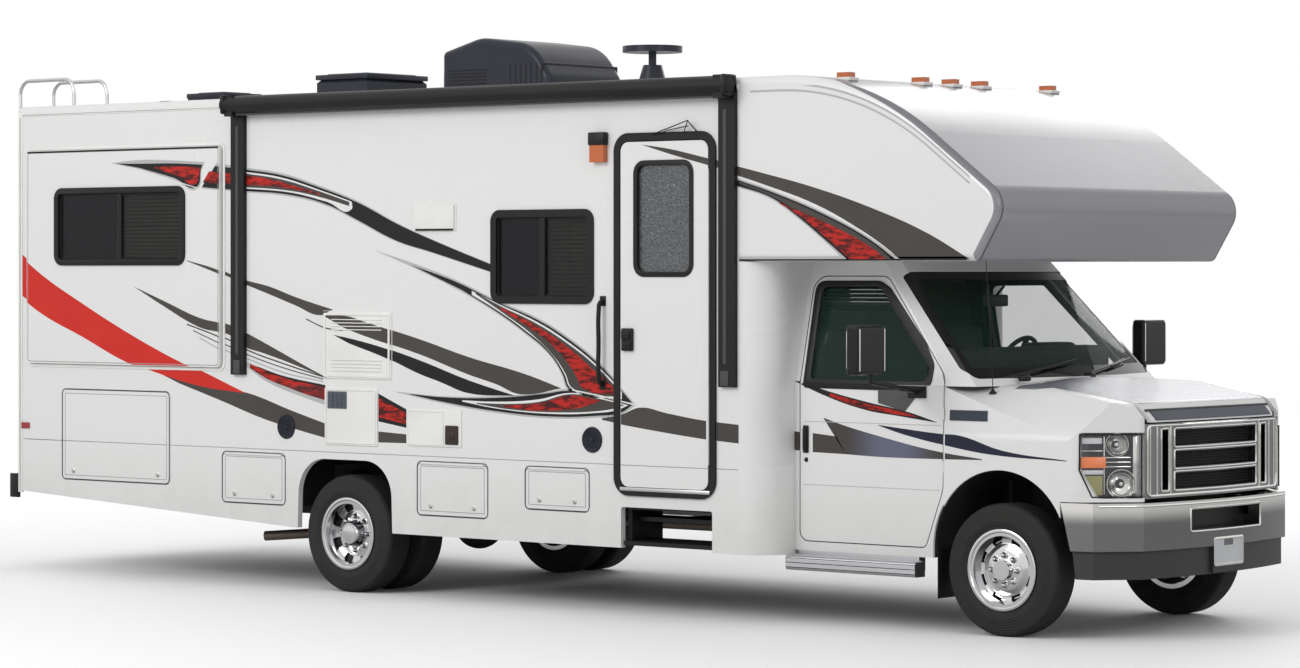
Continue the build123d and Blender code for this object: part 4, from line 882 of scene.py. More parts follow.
for row, cover, x, y, deep in covers:
    for side, sign in (("right", -1), ("left", 1)):
        body = row + "_wheel_" + side if row == "front" else "rear_wheels_" + side
        made = copied(cover, (x, sign * y, hub_height), Matrix.Rotation(-sign * pi / 2, 4, "X"))
        made = finished(made, f"wheel_cover_{row}_{side}", body, "wheel_chrome", wheel_chrome)
        made.data.materials.append(trim_black.material)
        for face in made.data.polygons:
            from_hub = hypot(face.center.x - x, face.center.z - hub_height)
            if 0.14 < from_hub < 0.19 and abs(face.center.y) - y < deep:
                face.material_index = 1
    bpy.data.objects.remove(cover)
print("wheel covers done")

# %% [markdown]
# ## Painted bands
# The swooshes on the real coach are vinyl film. Each band is one filled shape between a top edge and a
# bottom edge, drawn across the whole side. The list of fields then says which body carries which part
# of the side and how far out its skin is, and each band is cut to those fields, so the part of a
# band on the slide-out room or on a door moves with it. Thin layers lie on each other like film.

# %% Film finishes
def film(name, colour, second=None, scale=3.0):
    finish = Finish(name, colour, 0.32)
    finish.feed("Specular IOR Level", 0.22)
    drift = finish.noise(scale, 4.0, 0.6)
    finish.tint(drift, colour, second or tuple(c * 1.35 for c in colour))
    finish.feed("Roughness", 0.26 + drift * 0.12)
    return finish


bright_red = film("film_red", (0.56, 0.018, 0.012), (0.66, 0.035, 0.022))
charcoal = film("film_charcoal", (0.052, 0.045, 0.041), (0.082, 0.073, 0.067))
# The black and the grey film also draw painted shadow and painted shade lines on the overcab.
black_film_and_painted_shadow = film("film_black", (0.008, 0.008, 0.009), (0.016, 0.016, 0.018))
grey_film_and_painted_shade = film("film_grey", (0.42, 0.42, 0.42), (0.5, 0.5, 0.5))
navy_film = film("film_navy", (0.012, 0.014, 0.028), (0.02, 0.024, 0.05))
cab_film = film("film_cab", (0.052, 0.045, 0.041), (0.082, 0.073, 0.067))
film_x = cab_film.axes()[0]
# Painted reflection: a bluish patch in the middle of the cab band.
painted_blue_reflection = cab_film.ramp(film_x, 2.55, 2.85) * (1.0 - cab_film.ramp(film_x, 2.95, 3.25))
cab_film.tint(painted_blue_reflection, (0.062, 0.054, 0.05), (0.13, 0.14, 0.2))
paper = film("film_white", (0.76, 0.76, 0.755), (0.78, 0.78, 0.775))
ember = film("film_ember", (0.3, 0.012, 0.01))
vanes = ember.noise(7.0, 5.0, 0.7, ember.stretched(1.2, 1, 4.5))
veins = ember.ramp(vanes, 0.42, 0.6)
ember.tint(veins, (0.50, 0.02, 0.014), (0.055, 0.008, 0.007))

# %% Fields of both sides: body, skin distance, rear, front, low, high
fields_right = [
    ("coach", wall_skin, -4.310, -4.208, 0.40, 3.10),
    ("slide_room", fascia_skin, -4.200, -2.308, 1.413, 2.852),
    ("coach", wall_skin, -4.208, -2.300, 0.40, 1.405),
    ("coach", wall_skin, -2.300, -1.384, 0.40, 3.10),
    ("coach", vent_skin, -1.381, -0.778, 1.356, 1.784),
    ("coach", wall_skin, -1.384, -0.775, 1.787, 3.10),
    ("coach", wall_skin, -1.384, -0.775, 0.40, 1.353),
    ("coach", wall_skin, -0.775, 1.053, 0.40, 3.10),
    ("entry_door", leaf_skin, 1.112, 1.785, 0.765, 2.80),
    ("coach", wall_skin, 1.832, 1.994, 0.40, 2.09),
    ("coach", wall_skin, 1.832, 3.86, 2.097, 3.10),
    ("coach", cab_side, 2.140, 2.234, 0.50, 1.40),
    ("cab_door_right", cab_side, 2.242, 3.250, 0.50, 1.388),
    ("coach", cab_side, 3.262, 4.110, 0.50, 1.16),
]
fields_left = [
    ("coach", wall_skin, -4.310, -3.700, 0.40, 3.10),
    ("coach", wall_skin, -3.700, -2.890, 0.40, 1.945),
    ("coach", wall_skin, -2.890, -1.500, 0.40, 3.10),
    ("coach", wall_skin, -1.500, -0.490, 0.40, 1.895),
    ("coach", wall_skin, -0.490, 0.330, 0.40, 3.10),
    ("coach", wall_skin, 0.330, 1.440, 0.40, 1.775),
    ("coach", wall_skin, 1.440, 1.994, 0.40, 3.10),
    ("coach", wall_skin, 1.994, 3.86, 2.097, 3.10),
    ("coach", wall_skin, -3.700, -2.890, 2.455, 3.10),
    ("coach", wall_skin, -1.500, -0.490, 2.455, 3.10),
    ("coach", wall_skin, 0.330, 1.440, 2.455, 3.10),
    ("coach", cab_side, 2.140, 2.234, 0.50, 1.40),
    ("cab_door_left", cab_side, 2.242, 3.250, 0.50, 1.388),
    ("coach", cab_side, 3.262, 4.110, 0.50, 1.16),
]


# %% Drawing and cutting a band
film_depth, film_step = 0.0003, 0.0004


def ribbon(top, bottom):
    """A band between two edges, flat in X and Z, its skin side towards the right."""
    ends = (top[0], top[-1])
    loop = top + [place for place in bottom[::-1] if place not in ends]
    piece = curve_of([loop], "BEZIER")
    sharp = {0, len(top) - 1, len(loop) - 1}
    if bottom[-1] != top[-1]:
        sharp.add(len(top))
    for number in sharp:
        point = piece.data.splines[0].bezier_points[number]
        point.handle_left_type = point.handle_right_type = "VECTOR"
    piece.data.dimensions = "2D"
    piece.data.fill_mode = "BOTH"
    piece.data.extrude = film_depth / 2
    piece.rotation_euler = facings["right"]
    return in_mesh(piece)


def cut_to(piece, rear, front, low, high):
    with editing(piece):
        bpy.ops.mesh.remove_doubles(threshold=weld)
        for place, normal in (((front, 0, 0), (1, 0, 0)), ((rear, 0, 0), (-1, 0, 0)),
                              ((0, 0, high), (0, 0, 1)), ((0, 0, low), (0, 0, -1))):
            bpy.ops.mesh.select_all(action="SELECT")
            bpy.ops.mesh.bisect(plane_co=place, plane_no=normal, use_fill=True, clear_outer=True)
    return piece


films = {}


def lay(finish, level, top, bottom, right=True, left=True):
    """Cut one band to every field that it crosses, and keep its parts by body and finish."""
    master = ribbon(top, bottom)
    xs, zs = [p[0] for p in top + bottom], [p[1] for p in top + bottom]
    for wanted, fields, sign, word in ((right, fields_right, -1, "right"), (left, fields_left, 1, "left")):
        for body, skin, rear, front, low, high in fields if wanted else ():
            if max(xs) < rear or min(xs) > front or max(zs) < low or min(zs) > high:
                continue
            on_cab = min(zs) < 1.43 and min(xs) > 2.05
            if (skin == cab_side) != on_cab:
                continue
            part = cut_to(copied(master), rear, front, low, high)
            if not part.data.polygons:
                bpy.data.objects.remove(part)
                continue
            part.location.y = sign * (skin + film_depth + film_step * level)
            in_mesh(part)
            films.setdefault((body, word, finish.material.name, finish), []).append(part)
    bpy.data.objects.remove(master)


# %% The rear bands: a broad red one, dark ones below and beside it
lay(bright_red, 1,
    [(-4.313, 2.17), (-4.04, 2.008), (-3.64, 1.821), (-3.22, 1.641), (-2.81, 1.485), (-2.41, 1.353),
    (-2.087, 1.245)],
    [(-4.313, 1.885), (-4.04, 1.743), (-3.64, 1.596), (-3.22, 1.437), (-2.936, 1.364), (-2.51, 1.282),
    (-2.087, 1.245)])
lay(charcoal, 0, [(-2.95, 1.375), (-2.51, 1.290), (-2.087, 1.25), (-1.67, 1.143), (-1.369, 1.068)],
    [(-2.713, 1.296), (-2.313, 1.190), (-1.922, 1.083), (-1.577, 1.014), (-1.369, 0.977)])
lay(charcoal, 0, [(-0.896, 1.030), (-0.652, 1.018)], [(-0.896, 0.961), (-0.652, 0.963)])
lay(grey_film_and_painted_shade, 0,
    [(-2.097, 1.454), (-1.768, 1.369), (-1.364, 1.310)],
    [(-2.097, 1.427), (-1.922, 1.335), (-1.539, 1.225), (-1.364, 1.185)])
lay(ember, 1,
    [(-2.05, 1.436), (-1.768, 1.362), (-1.364, 1.303)],
    [(-2.05, 1.41), (-1.90, 1.345), (-1.70, 1.290), (-1.539, 1.250), (-1.364, 1.216)])
lay(black_film_and_painted_shadow, 2,
    [(-1.98, 1.421), (-1.768, 1.369), (-1.364, 1.312)],
    [(-1.98, 1.415), (-1.768, 1.358), (-1.364, 1.298)])
lay(black_film_and_painted_shadow, 0, [(-0.896, 1.268), (-0.652, 1.174)], [(-0.896, 1.093), (-0.652, 1.059)])
lay(ember, 1, [(-0.896, 1.240), (-0.652, 1.150)], [(-0.896, 1.120), (-0.652, 1.080)])
lay(charcoal, 0, [(-1.369, 1.068), (-0.896, 1.030)], [(-1.369, 0.977), (-0.896, 0.961)], right=False)
lay(charcoal, 0, [(-0.652, 1.018), (-0.350, 1.012)], [(-0.652, 0.963), (-0.350, 1.008)], right=False)
lay(black_film_and_painted_shadow, 0, [(-1.364, 1.312), (-0.896, 1.268)], [(-1.364, 1.185), (-0.896, 1.093)], right=False)
lay(ember, 1, [(-1.364, 1.303), (-0.896, 1.240)], [(-1.364, 1.216), (-0.896, 1.120)], right=False)
lay(black_film_and_painted_shadow, 0, [(-0.652, 1.174), (-0.420, 1.080)], [(-0.652, 1.059), (-0.420, 1.076)], right=False)
lay(charcoal, 1,
    [(-3.121, 1.934), (-2.81, 1.833), (-2.49, 1.731), (-2.244, 1.689), (-2.107, 1.645), (-1.826, 1.540),
    (-1.539, 1.429), (-1.331, 1.352)],
    [(-3.121, 1.934), (-2.895, 1.832), (-2.49, 1.669), (-2.244, 1.623), (-2.107, 1.550), (-1.922, 1.507),
    (-1.729, 1.460), (-1.539, 1.409), (-1.331, 1.352)])


def line(finish, level, points, width=0.009, **sides):
    lay(finish, level,
        [(x, z + width / 2) for x, z in points],
        [(x, z - width / 2) for x, z in points], **sides)


line(charcoal, 1, [(-2.612, 1.689), (-2.244, 1.589), (-2.107, 1.536), (-1.729, 1.440), (-1.384, 1.365)])
line(charcoal, 1, [(-2.552, 1.648), (-2.244, 1.548), (-2.107, 1.505), (-1.729, 1.413), (-1.384, 1.350)],
    0.007)
line(grey_film_and_painted_shade, 1, [(-2.492, 1.600), (-2.244, 1.511), (-2.097, 1.475), (-1.729, 1.383), (-1.384, 1.335)])
lay(charcoal, 1,
    [(-2.612, 2.108), (-2.373, 2.060), (-2.107, 1.983), (-1.874, 1.939), (-1.642, 1.874), (-1.298, 1.793)],
    [(-2.612, 2.104), (-2.373, 2.038), (-2.107, 1.956), (-1.874, 1.889), (-1.642, 1.821), (-1.401, 1.757),
    (-1.298, 1.793)])

# %% The middle bands
lay(charcoal, 1,
    [(-1.379, 1.757), (-1.157, 1.752), (-1.014, 1.719), (-0.545, 1.615), (-0.126, 1.509), (0.337, 1.413),
    (0.631, 1.332)],
    [(-1.379, 1.757), (-1.205, 1.683), (-1.014, 1.630), (-0.545, 1.521), (-0.126, 1.401), (0.107, 1.345),
    (0.291, 1.290), (0.631, 1.332)])
lay(black_film_and_painted_shadow, 1,
    [(-1.287, 1.634), (-1.062, 1.599), (-0.806, 1.548), (-0.545, 1.484), (-0.126, 1.366), (0.257, 1.279)],
    [(-1.287, 1.634), (-1.148, 1.581), (-0.806, 1.487), (-0.545, 1.399), (-0.362, 1.350), (-0.138, 1.288),
    (0.257, 1.279)])
line(charcoal, 1, [(-1.538, 1.732), (-1.369, 1.678), (-1.205, 1.663)], 0.008)

# %% The upper swoosh
lay(grey_film_and_painted_shade, 0,
    [(-2.122, 2.713), (-1.758, 2.668), (-1.412, 2.582), (-1.073, 2.480), (-0.728, 2.338), (-0.446, 2.240),
    (0.072, 2.079)],
    [(-2.122, 2.551), (-1.665, 2.514), (-1.344, 2.450), (-1.073, 2.349), (-0.739, 2.222), (-0.446, 2.153),
    (0.072, 2.026)])
lay(black_film_and_painted_shadow, 1,
    [(-2.122, 2.700), (-1.758, 2.655), (-1.412, 2.570), (-1.073, 2.470), (-0.728, 2.332), (-0.446, 2.236),
    (0.072, 2.075)],
    [(-2.122, 2.560), (-1.665, 2.525), (-1.344, 2.460), (-1.073, 2.358), (-0.739, 2.228), (-0.446, 2.158),
    (0.072, 2.030)])
lay(paper, 2, [(-2.122, 2.686), (-1.758, 2.640), (-1.412, 2.555), (-1.130, 2.478)],
    [(-2.122, 2.575), (-1.665, 2.541), (-1.344, 2.478), (-1.130, 2.430), (-1.130, 2.478)])
lay(charcoal, 3, [(-2.122, 2.675), (-1.758, 2.628), (-1.412, 2.546), (-1.151, 2.476)],
    [(-2.122, 2.585), (-1.665, 2.552), (-1.412, 2.510), (-1.151, 2.450)])
lay(ember, 4, [(-2.122, 2.663), (-1.874, 2.634), (-1.665, 2.590), (-1.412, 2.532)],
    [(-2.122, 2.598), (-1.874, 2.588), (-1.665, 2.565), (-1.412, 2.524)])

# %% The start of the upper swoosh, on the slide-out room
lay(grey_film_and_painted_shade, 0, [(-3.349, 2.761), (-3.059, 2.777), (-2.733, 2.768), (-2.443, 2.751)],
    [(-3.349, 2.761), (-3.059, 2.712), (-2.733, 2.640), (-2.502, 2.582), (-2.472, 2.70)])
lay(black_film_and_painted_shadow, 1, [(-3.30, 2.757), (-3.059, 2.752), (-2.733, 2.748), (-2.462, 2.735)],
    [(-3.30, 2.757), (-3.059, 2.722), (-2.733, 2.652), (-2.510, 2.594), (-2.480, 2.70)])
lay(ember, 2,
    [(-2.92, 2.728), (-2.673, 2.727), (-2.480, 2.715)],
    [(-2.92, 2.722), (-2.693, 2.662), (-2.520, 2.612), (-2.490, 2.69)])
line(paper, 3, [(-3.25, 2.741), (-3.059, 2.710), (-2.733, 2.634), (-2.515, 2.583)], 0.006)
lay(grey_film_and_painted_shade, 0, [(-2.333, 2.742), (-2.122, 2.713)], [(-2.472, 2.578), (-2.122, 2.553)])
lay(black_film_and_painted_shadow, 1, [(-2.345, 2.724), (-2.122, 2.700)], [(-2.470, 2.588), (-2.122, 2.560)])
lay(ember, 4, [(-2.400, 2.690), (-2.122, 2.662)], [(-2.460, 2.618), (-2.122, 2.600)])

# %% The big swoosh towards the door
door_top_edge = [(-0.944, 2.174), (-0.575, 2.082), (-0.232, 1.984), (0.107, 1.860), (0.450, 1.751),
    (0.676, 1.647), (0.898, 1.516), (1.060, 1.392), (1.227, 1.246)]
lay(grey_film_and_painted_shade, 0, door_top_edge,
    [(-0.944, 2.174), (-0.575, 2.054), (-0.185, 1.910), (0.107, 1.779), (0.337, 1.657), (0.541, 1.524),
    (0.630, 1.42), (0.681, 1.325), (0.95, 1.28), (1.227, 1.246)])
lay(black_film_and_painted_shadow, 1,
    [(-0.62, 2.078), (-0.232, 1.972), (0.107, 1.850), (0.450, 1.739), (0.676, 1.634), (0.898, 1.503),
    (1.060, 1.378), (1.20, 1.257)],
    [(-0.62, 2.078), (-0.185, 1.922), (0.107, 1.789), (0.337, 1.667), (0.541, 1.534), (0.640, 1.42),
    (0.690, 1.331), (0.95, 1.29), (1.20, 1.257)])
lay(paper, 2,
    [(-0.10, 1.917), (0.107, 1.843), (0.450, 1.725), (0.676, 1.618), (0.898, 1.487), (1.12, 1.320)],
    [(-0.10, 1.893), (0.107, 1.800), (0.337, 1.680), (0.541, 1.548), (0.655, 1.42), (0.703, 1.336),
    (1.12, 1.278)])
lay(charcoal, 3,
    [(-0.067, 1.907), (0.107, 1.836), (0.450, 1.713), (0.676, 1.605), (0.898, 1.474), (1.095, 1.322)],
    [(-0.067, 1.898), (0.165, 1.780), (0.394, 1.655), (0.586, 1.511), (0.665, 1.42), (0.712, 1.340),
    (1.095, 1.288)])
lay(ember, 4,
    [(0.142, 1.817), (0.450, 1.698), (0.676, 1.585), (0.876, 1.455), (1.060, 1.335)],
    [(0.142, 1.805), (0.359, 1.703), (0.545, 1.600), (0.690, 1.480), (0.755, 1.400), (0.790, 1.345),
    (1.060, 1.300)])

# %% The lower lobe
lobe_top = [(-0.745, 1.284), (-0.362, 1.264), (0.107, 1.274), (0.507, 1.308), (0.68, 1.328), (0.898, 1.306),
    (1.227, 1.246)]
lay(grey_film_and_painted_shade, 0, lobe_top,
    [(-0.745, 1.280), (-0.361, 1.222), (0.107, 1.170), (0.563, 1.148), (0.900, 1.162), (1.118, 1.187),
    (1.227, 1.246)])
lay(black_film_and_painted_shadow, 1,
    [(-0.62, 1.272), (-0.362, 1.258), (0.107, 1.264), (0.507, 1.298), (0.68, 1.318), (0.898, 1.296),
    (1.20, 1.245)],
    [(-0.62, 1.268), (-0.361, 1.231), (0.107, 1.181), (0.563, 1.160), (0.900, 1.173), (1.118, 1.200),
    (1.20, 1.245)])
lay(paper, 2, [(-0.18, 1.242), (0.107, 1.240), (0.45, 1.262), (0.70, 1.306), (0.898, 1.288), (1.17, 1.243)],
    [(-0.18, 1.234), (0.107, 1.198), (0.563, 1.176), (0.900, 1.190), (1.08, 1.212), (1.17, 1.243)])
lay(charcoal, 3,
    [(-0.06, 1.228), (0.222, 1.229), (0.450, 1.246), (0.70, 1.298), (0.898, 1.280), (1.14, 1.242)],
    [(-0.06, 1.222), (0.222, 1.195), (0.563, 1.186), (0.900, 1.200), (1.05, 1.220), (1.14, 1.242)])
lay(ember, 4, [(0.165, 1.219), (0.450, 1.238), (0.70, 1.290), (0.95, 1.265)],
    [(0.165, 1.209), (0.394, 1.194), (0.620, 1.200), (0.80, 1.222), (0.95, 1.265)])
line(paper, 5, [(0.72, 1.3235), (0.95, 1.292), (1.227, 1.246)], 0.008)

# %% The bands over the door, on the corner and on the overcab
lay(charcoal, 1,
    [(0.953, 1.160), (1.118, 1.187), (1.259, 1.231), (1.463, 1.203), (1.733, 1.168), (1.994, 1.148)],
    [(0.953, 1.150), (1.118, 1.127), (1.408, 1.093), (1.786, 1.055), (1.994, 1.040)])
lay(charcoal, 1, [(1.282, 2.786), (1.487, 2.757), (1.752, 2.702), (1.870, 2.677)],
    [(1.282, 2.784), (1.487, 2.728), (1.752, 2.663), (1.870, 2.634)])
lay(charcoal, 1,
    [(1.978, 2.648), (2.165, 2.606), (2.514, 2.524), (2.929, 2.402), (3.335, 2.251), (3.622, 2.104)],
    [(1.978, 2.595), (2.165, 2.543), (2.567, 2.415), (2.878, 2.270), (3.032, 2.183), (3.148, 2.104)])
lay(grey_film_and_painted_shade, 0, [(1.978, 2.580), (2.254, 2.500), (2.619, 2.372), (2.929, 2.233), (3.155, 2.101)],
    [(1.978, 2.528), (2.236, 2.452), (2.409, 2.352), (2.619, 2.208), (2.758, 2.101)])
lay(black_film_and_painted_shadow, 1, [(1.978, 2.570), (2.254, 2.490), (2.619, 2.361), (2.929, 2.222), (3.12, 2.104)],
    [(1.978, 2.535), (2.236, 2.461), (2.409, 2.362), (2.619, 2.219), (2.78, 2.104)])
lay(charcoal, 2, [(1.990, 2.560), (2.254, 2.480), (2.619, 2.349), (2.929, 2.210), (3.09, 2.106)],
    [(1.990, 2.550), (2.254, 2.462), (2.409, 2.385), (2.619, 2.240), (2.80, 2.106)])
lay(ember, 3, [(2.290, 2.432), (2.461, 2.375), (2.775, 2.254), (2.929, 2.183), (3.05, 2.107)],
    [(2.290, 2.428), (2.409, 2.374), (2.619, 2.238), (2.796, 2.107)])

# %% The bands of the cab
lay(charcoal, 1, [(2.091, 1.119), (2.234, 1.104)], [(2.091, 1.003), (2.234, 0.997)])
lay(cab_film, 1, [(2.328, 1.101), (2.50, 1.086)], [(2.328, 0.991), (2.566, 0.986)])
lay(cab_film, 1, [(2.404, 1.192), (2.55, 1.152), (2.816, 1.094), (3.208, 1.022), (3.516, 0.988)],
    [(2.566, 0.986), (2.816, 0.978), (3.208, 0.979), (3.516, 0.983)])
lay(navy_film, 1, [(2.801, 1.160), (3.227, 1.122), (3.364, 1.115), (3.650, 1.040), (4.079, 0.998)],
    [(2.801, 1.156), (2.968, 1.113), (3.227, 1.064), (3.566, 1.016), (4.079, 0.994)])
lay(black_film_and_painted_shadow, 0, [(2.143, 1.424), (2.414, 1.352), (2.716, 1.290), (3.013, 1.238), (3.208, 1.186)],
    [(2.143, 1.420), (2.414, 1.320), (2.716, 1.242), (2.93, 1.216), (3.208, 1.184)])
lay(ember, 1, [(2.45, 1.335), (2.716, 1.280), (3.013, 1.230), (3.07, 1.214)],
    [(2.45, 1.315), (2.716, 1.250), (2.93, 1.224), (3.07, 1.212)])

# %% [markdown]
# ## Front end
# The lamps, the grille and the bumper carry most of the shine. Sheets and rims on curved skins are
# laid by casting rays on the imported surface, so they follow it without gaps. Each lamp is a black
# housing behind the lens with reflector bowls, an amber block and clear blocks around it.

# %% Helpers for curved skins
def box_of(name):
    places = [vertex.co for vertex in nodes[name].data.vertices]
    return [(min(place[axis] for place in places), max(place[axis] for place in places)) for axis in range(3)]


def hit(name, start, direction):
    """Where a line from start first meets a node's skin."""
    found, place, _, _ = nodes[name].ray_cast(Vector(start), Vector(direction))
    return place if found else None


def draped(name, side, across, upward, lift, thick, cells=24):
    """A sheet over a node's skin, as seen from the front or the right."""
    bpy.ops.object.select_all(action="DESELECT")
    bpy.ops.mesh.primitive_grid_add(x_subdivisions=cells, y_subdivisions=6, size=1)
    sheet = bpy.context.object
    sheet.scale = (across[1] - across[0], upward[1] - upward[0], 1)
    in_mesh(sheet)
    middle, level = sum(across) / 2, sum(upward) / 2
    sheet.rotation_euler = facings[side]
    sheet.location = {"front": (6, middle, level), "right": (middle, -3, level)}[side]
    in_mesh(sheet)
    inwards = {"front": Vector((-1, 0, 0)), "right": Vector((0, 1, 0))}[side]
    flat = bmesh.new()
    flat.from_mesh(sheet.data)
    missed = []
    for vertex in flat.verts:
        place = hit(name, vertex.co, inwards)
        if place is None:
            missed.append(vertex)
        else:
            vertex.co = place - inwards * lift
    bmesh.ops.delete(flat, geom=missed, context="VERTS")
    flat.to_mesh(sheet.data)
    flat.free()
    return modified(sheet, "SOLIDIFY", thickness=thick, offset=1)


def moved(piece, move=(0, 0, 0), turn=None):
    made = in_mesh(copied(piece, move, turn))
    bpy.data.objects.remove(piece)
    return made


def softened(points):
    """A polygon of (x, z, radius) corners with the corners rounded."""
    loop = []
    for number, (x, z, radius) in enumerate(points):
        corner = Vector((x, z))
        before = Vector(points[number - 1][:2]) - corner
        after = Vector(points[(number + 1) % len(points)][:2]) - corner
        half_angle = before.angle(after) / 2
        back = min(radius / max(abs(sin(half_angle) / cos(half_angle)), 0.01), before.length * 0.49,
            after.length * 0.49)
        start, end = corner + before.normalized() * back, corner + after.normalized() * back
        for step in range(7):
            share = step / 6
            loop.append(tuple(start * (1 - share) ** 2 + corner * 2 * share * (1 - share) + end * share ** 2))
    return loop


def both_sides(piece, name, slot, finish, right_body="coach", left_body=None, angle=35):
    """Finish a right-hand piece and its copy on the driver's side."""
    finished(piece, name + "_right", right_body, slot, finish, angle)
    other_side(piece, name + "_left", left_body or right_body)


# %% Headlamps: u runs back along the lamp's flat face, from its inner front edge
lamp_corner = (4.400, -0.735, 0.0)
lamp_turn = Matrix.Rotation(-pi / 4, 4, "Z")


def lamp_block(u0, u1, z0, z1, near, far, round_off=0.003):
    return block((near, -u1, z0), (far, -u0, z1), round_off, 2)


def in_lamp(pieces, name, slot, finish):
    both_sides(moved(joined(pieces), lamp_corner, lamp_turn), name, slot, finish)


lens_edge = [(0.0, 1.146), (-0.352, 1.146), (-0.356, 0.945), (-0.284, 0.794), (0.0, 0.794)]
lens_inner = [(-0.008, 1.138), (-0.343, 1.138), (-0.347, 0.947), (-0.279, 0.802), (-0.008, 0.802)]
housing = plate([[(y * 0.985 - 0.002, z * 0.99 + 0.009) for y, z in lens_edge]], "front", -0.075, -0.07)
in_lamp([housing], "lamp_housing", "frame_black", gloss_black)
in_lamp([plate([lens_edge, lens_inner], "front", -0.006, 0.0025, 0.001)], "lamp_rim", "frame_black",
    trim_black)
bowl = [(0.0, -0.042), (0.022, -0.040), (0.042, -0.030), (0.056, -0.012), (0.062, 0.004), (0.066, 0.004),
    (0.066, -0.004)]
bulb = [(0.0, 0.0), (0.010, -0.002), (0.012, -0.02), (0.012, -0.04)]
reflectors = [
    turned(bowl, (-0.030, -0.136, 1.085), "X", 40),
    turned(bulb, (-0.030, -0.136, 1.085), "X", 20),
    turned([(r * 1.25, a) for r, a in bowl], (-0.030, -0.112, 0.868), "X", 40),
    turned(bulb, (-0.030, -0.112, 0.868), "X", 20),
    lamp_block(0.058, 0.208, 1.010, 1.018, -0.06, -0.026),
    lamp_block(0.058, 0.208, 0.985, 0.992, -0.06, -0.026),
    lamp_block(0.058, 0.208, 0.960, 0.967, -0.06, -0.026),
    lamp_block(0.205, 0.212, 0.80, 1.14, -0.06, -0.022),
    lamp_block(0.214, 0.340, 1.048, 1.054, -0.06, -0.024),
    lamp_block(0.012, 0.048, 0.802, 1.138, -0.06, -0.03, 0.01),
]
in_lamp(reflectors, "lamp_reflectors", "chrome_trim", rim_chrome)
signal = Finish("signal_amber", (0.95, 0.2, 0.01), 0.2, 0.0, 0.5)
signal_ribs = (signal.axes()[2] * 700.0).wave()
signal.tint(signal_ribs * 0.3 + 0.3, (0.95, 0.16, 0.008), (1.0, 0.32, 0.03))
signal.bump(signal_ribs, 0.0008, 0.5)
in_lamp([lamp_block(0.200, 0.343, 0.957, 1.019, -0.05, -0.008, 0.006)], "lamp_signal", "lamp_amber", signal)
clear_block = plastic("clear_block", (0.62, 0.63, 0.66), 0.15)
in_lamp([
    lamp_block(0.222, 0.334, 1.090, 1.124, -0.05, -0.012, 0.005),
    lamp_block(0.214, 0.334, 0.922, 0.946, -0.05, -0.012, 0.005),
], "lamp_clear_blocks", "lamp_clear", clear_block)
olive = plastic("side_marker_olive", (0.3, 0.27, 0.1), 0.2)
olive_loop = [(-0.218, 0.915), (-0.330, 0.915), (-0.272, 0.808), (-0.218, 0.808)]
in_lamp([plate([olive_loop], "front", -0.03, -0.018, 0.002)], "lamp_corner_blocks", "lamp_clear", olive)
print("headlamps built")


# %% Grille: bright rims round every slot, and a dark mesh behind
def rim_on(name, loop, radius, lift, side="front"):
    """A closed bead on a node's skin along a loop of (across, height) places."""
    places = []
    for across, level in loop:
        start = (6, across, level) if side == "front" else (across, -3, level)
        inwards = (-1, 0, 0) if side == "front" else (0, 1, 0)
        place = hit(name, start, inwards)
        if place is not None:
            places.append(place - Vector(inwards) * lift)
    return tube(places, radius, closed=True, sides=2)


def dense(loop, pitch=0.05):
    """More points along the long sides of a loop."""
    points = []
    for number, (x, z) in enumerate(loop):
        next_x, next_z = loop[(number + 1) % len(loop)]
        parts = max(1, int(hypot(next_x - x, next_z - z) / pitch))
        points += [(x + (next_x - x) * n / parts, z + (next_z - z) * n / parts) for n in range(parts)]
    return points


slot_rows = ((0.830, 0.920), (0.950, 1.040), (1.070, 1.160))
rims = [rim_on("grille", dense(rounded(-0.438, 0.438, low - 0.008, high + 0.008, 0.01, 2)), 0.0055, 0.001)
        for low, high in slot_rows]
for middle in (-0.525, 0.525):
    rims.append(rim_on("grille", dense(rounded(middle - 0.036, middle + 0.036, 0.822, 1.168, 0.01, 2)),
        0.0055, 0.001))
for middle in (-0.475, 0.475, -0.60, 0.60, -0.665, 0.665):
    rims.append(rim_on("grille", dense([(middle - 0.002, 0.80), (middle + 0.002, 0.80),
        (middle + 0.002, 1.185), (middle - 0.002, 1.185)]), 0.004, 0.001))
edge_loop = dense(rounded(-0.690, 0.690, 0.800, 1.186, 0.03, 3))
rims.append(rim_on("grille", edge_loop, 0.007, 0.002))
shiny("grille_rims", *rims)
mesh_bars = []
for low, high in slot_rows:
    bar = block((4.372, -0.43, low + 0.012), (4.376, 0.43, low + 0.016), 0.001, 1)
    mesh_bars.append(row_of(bar, 5, (0, 0, 0.016)))
    post = block((4.370, -0.42, low + 0.001), (4.374, -0.416, high - 0.001), 0.001, 1)
    mesh_bars.append(row_of(post, 43, (0, 0.02, 0)))
black("grille_mesh", *mesh_bars)
air_panel = block((4.300, -0.66, 0.80), (4.306, 0.66, 1.18), 0.002, 1)
black("grille_back_panel", air_panel)

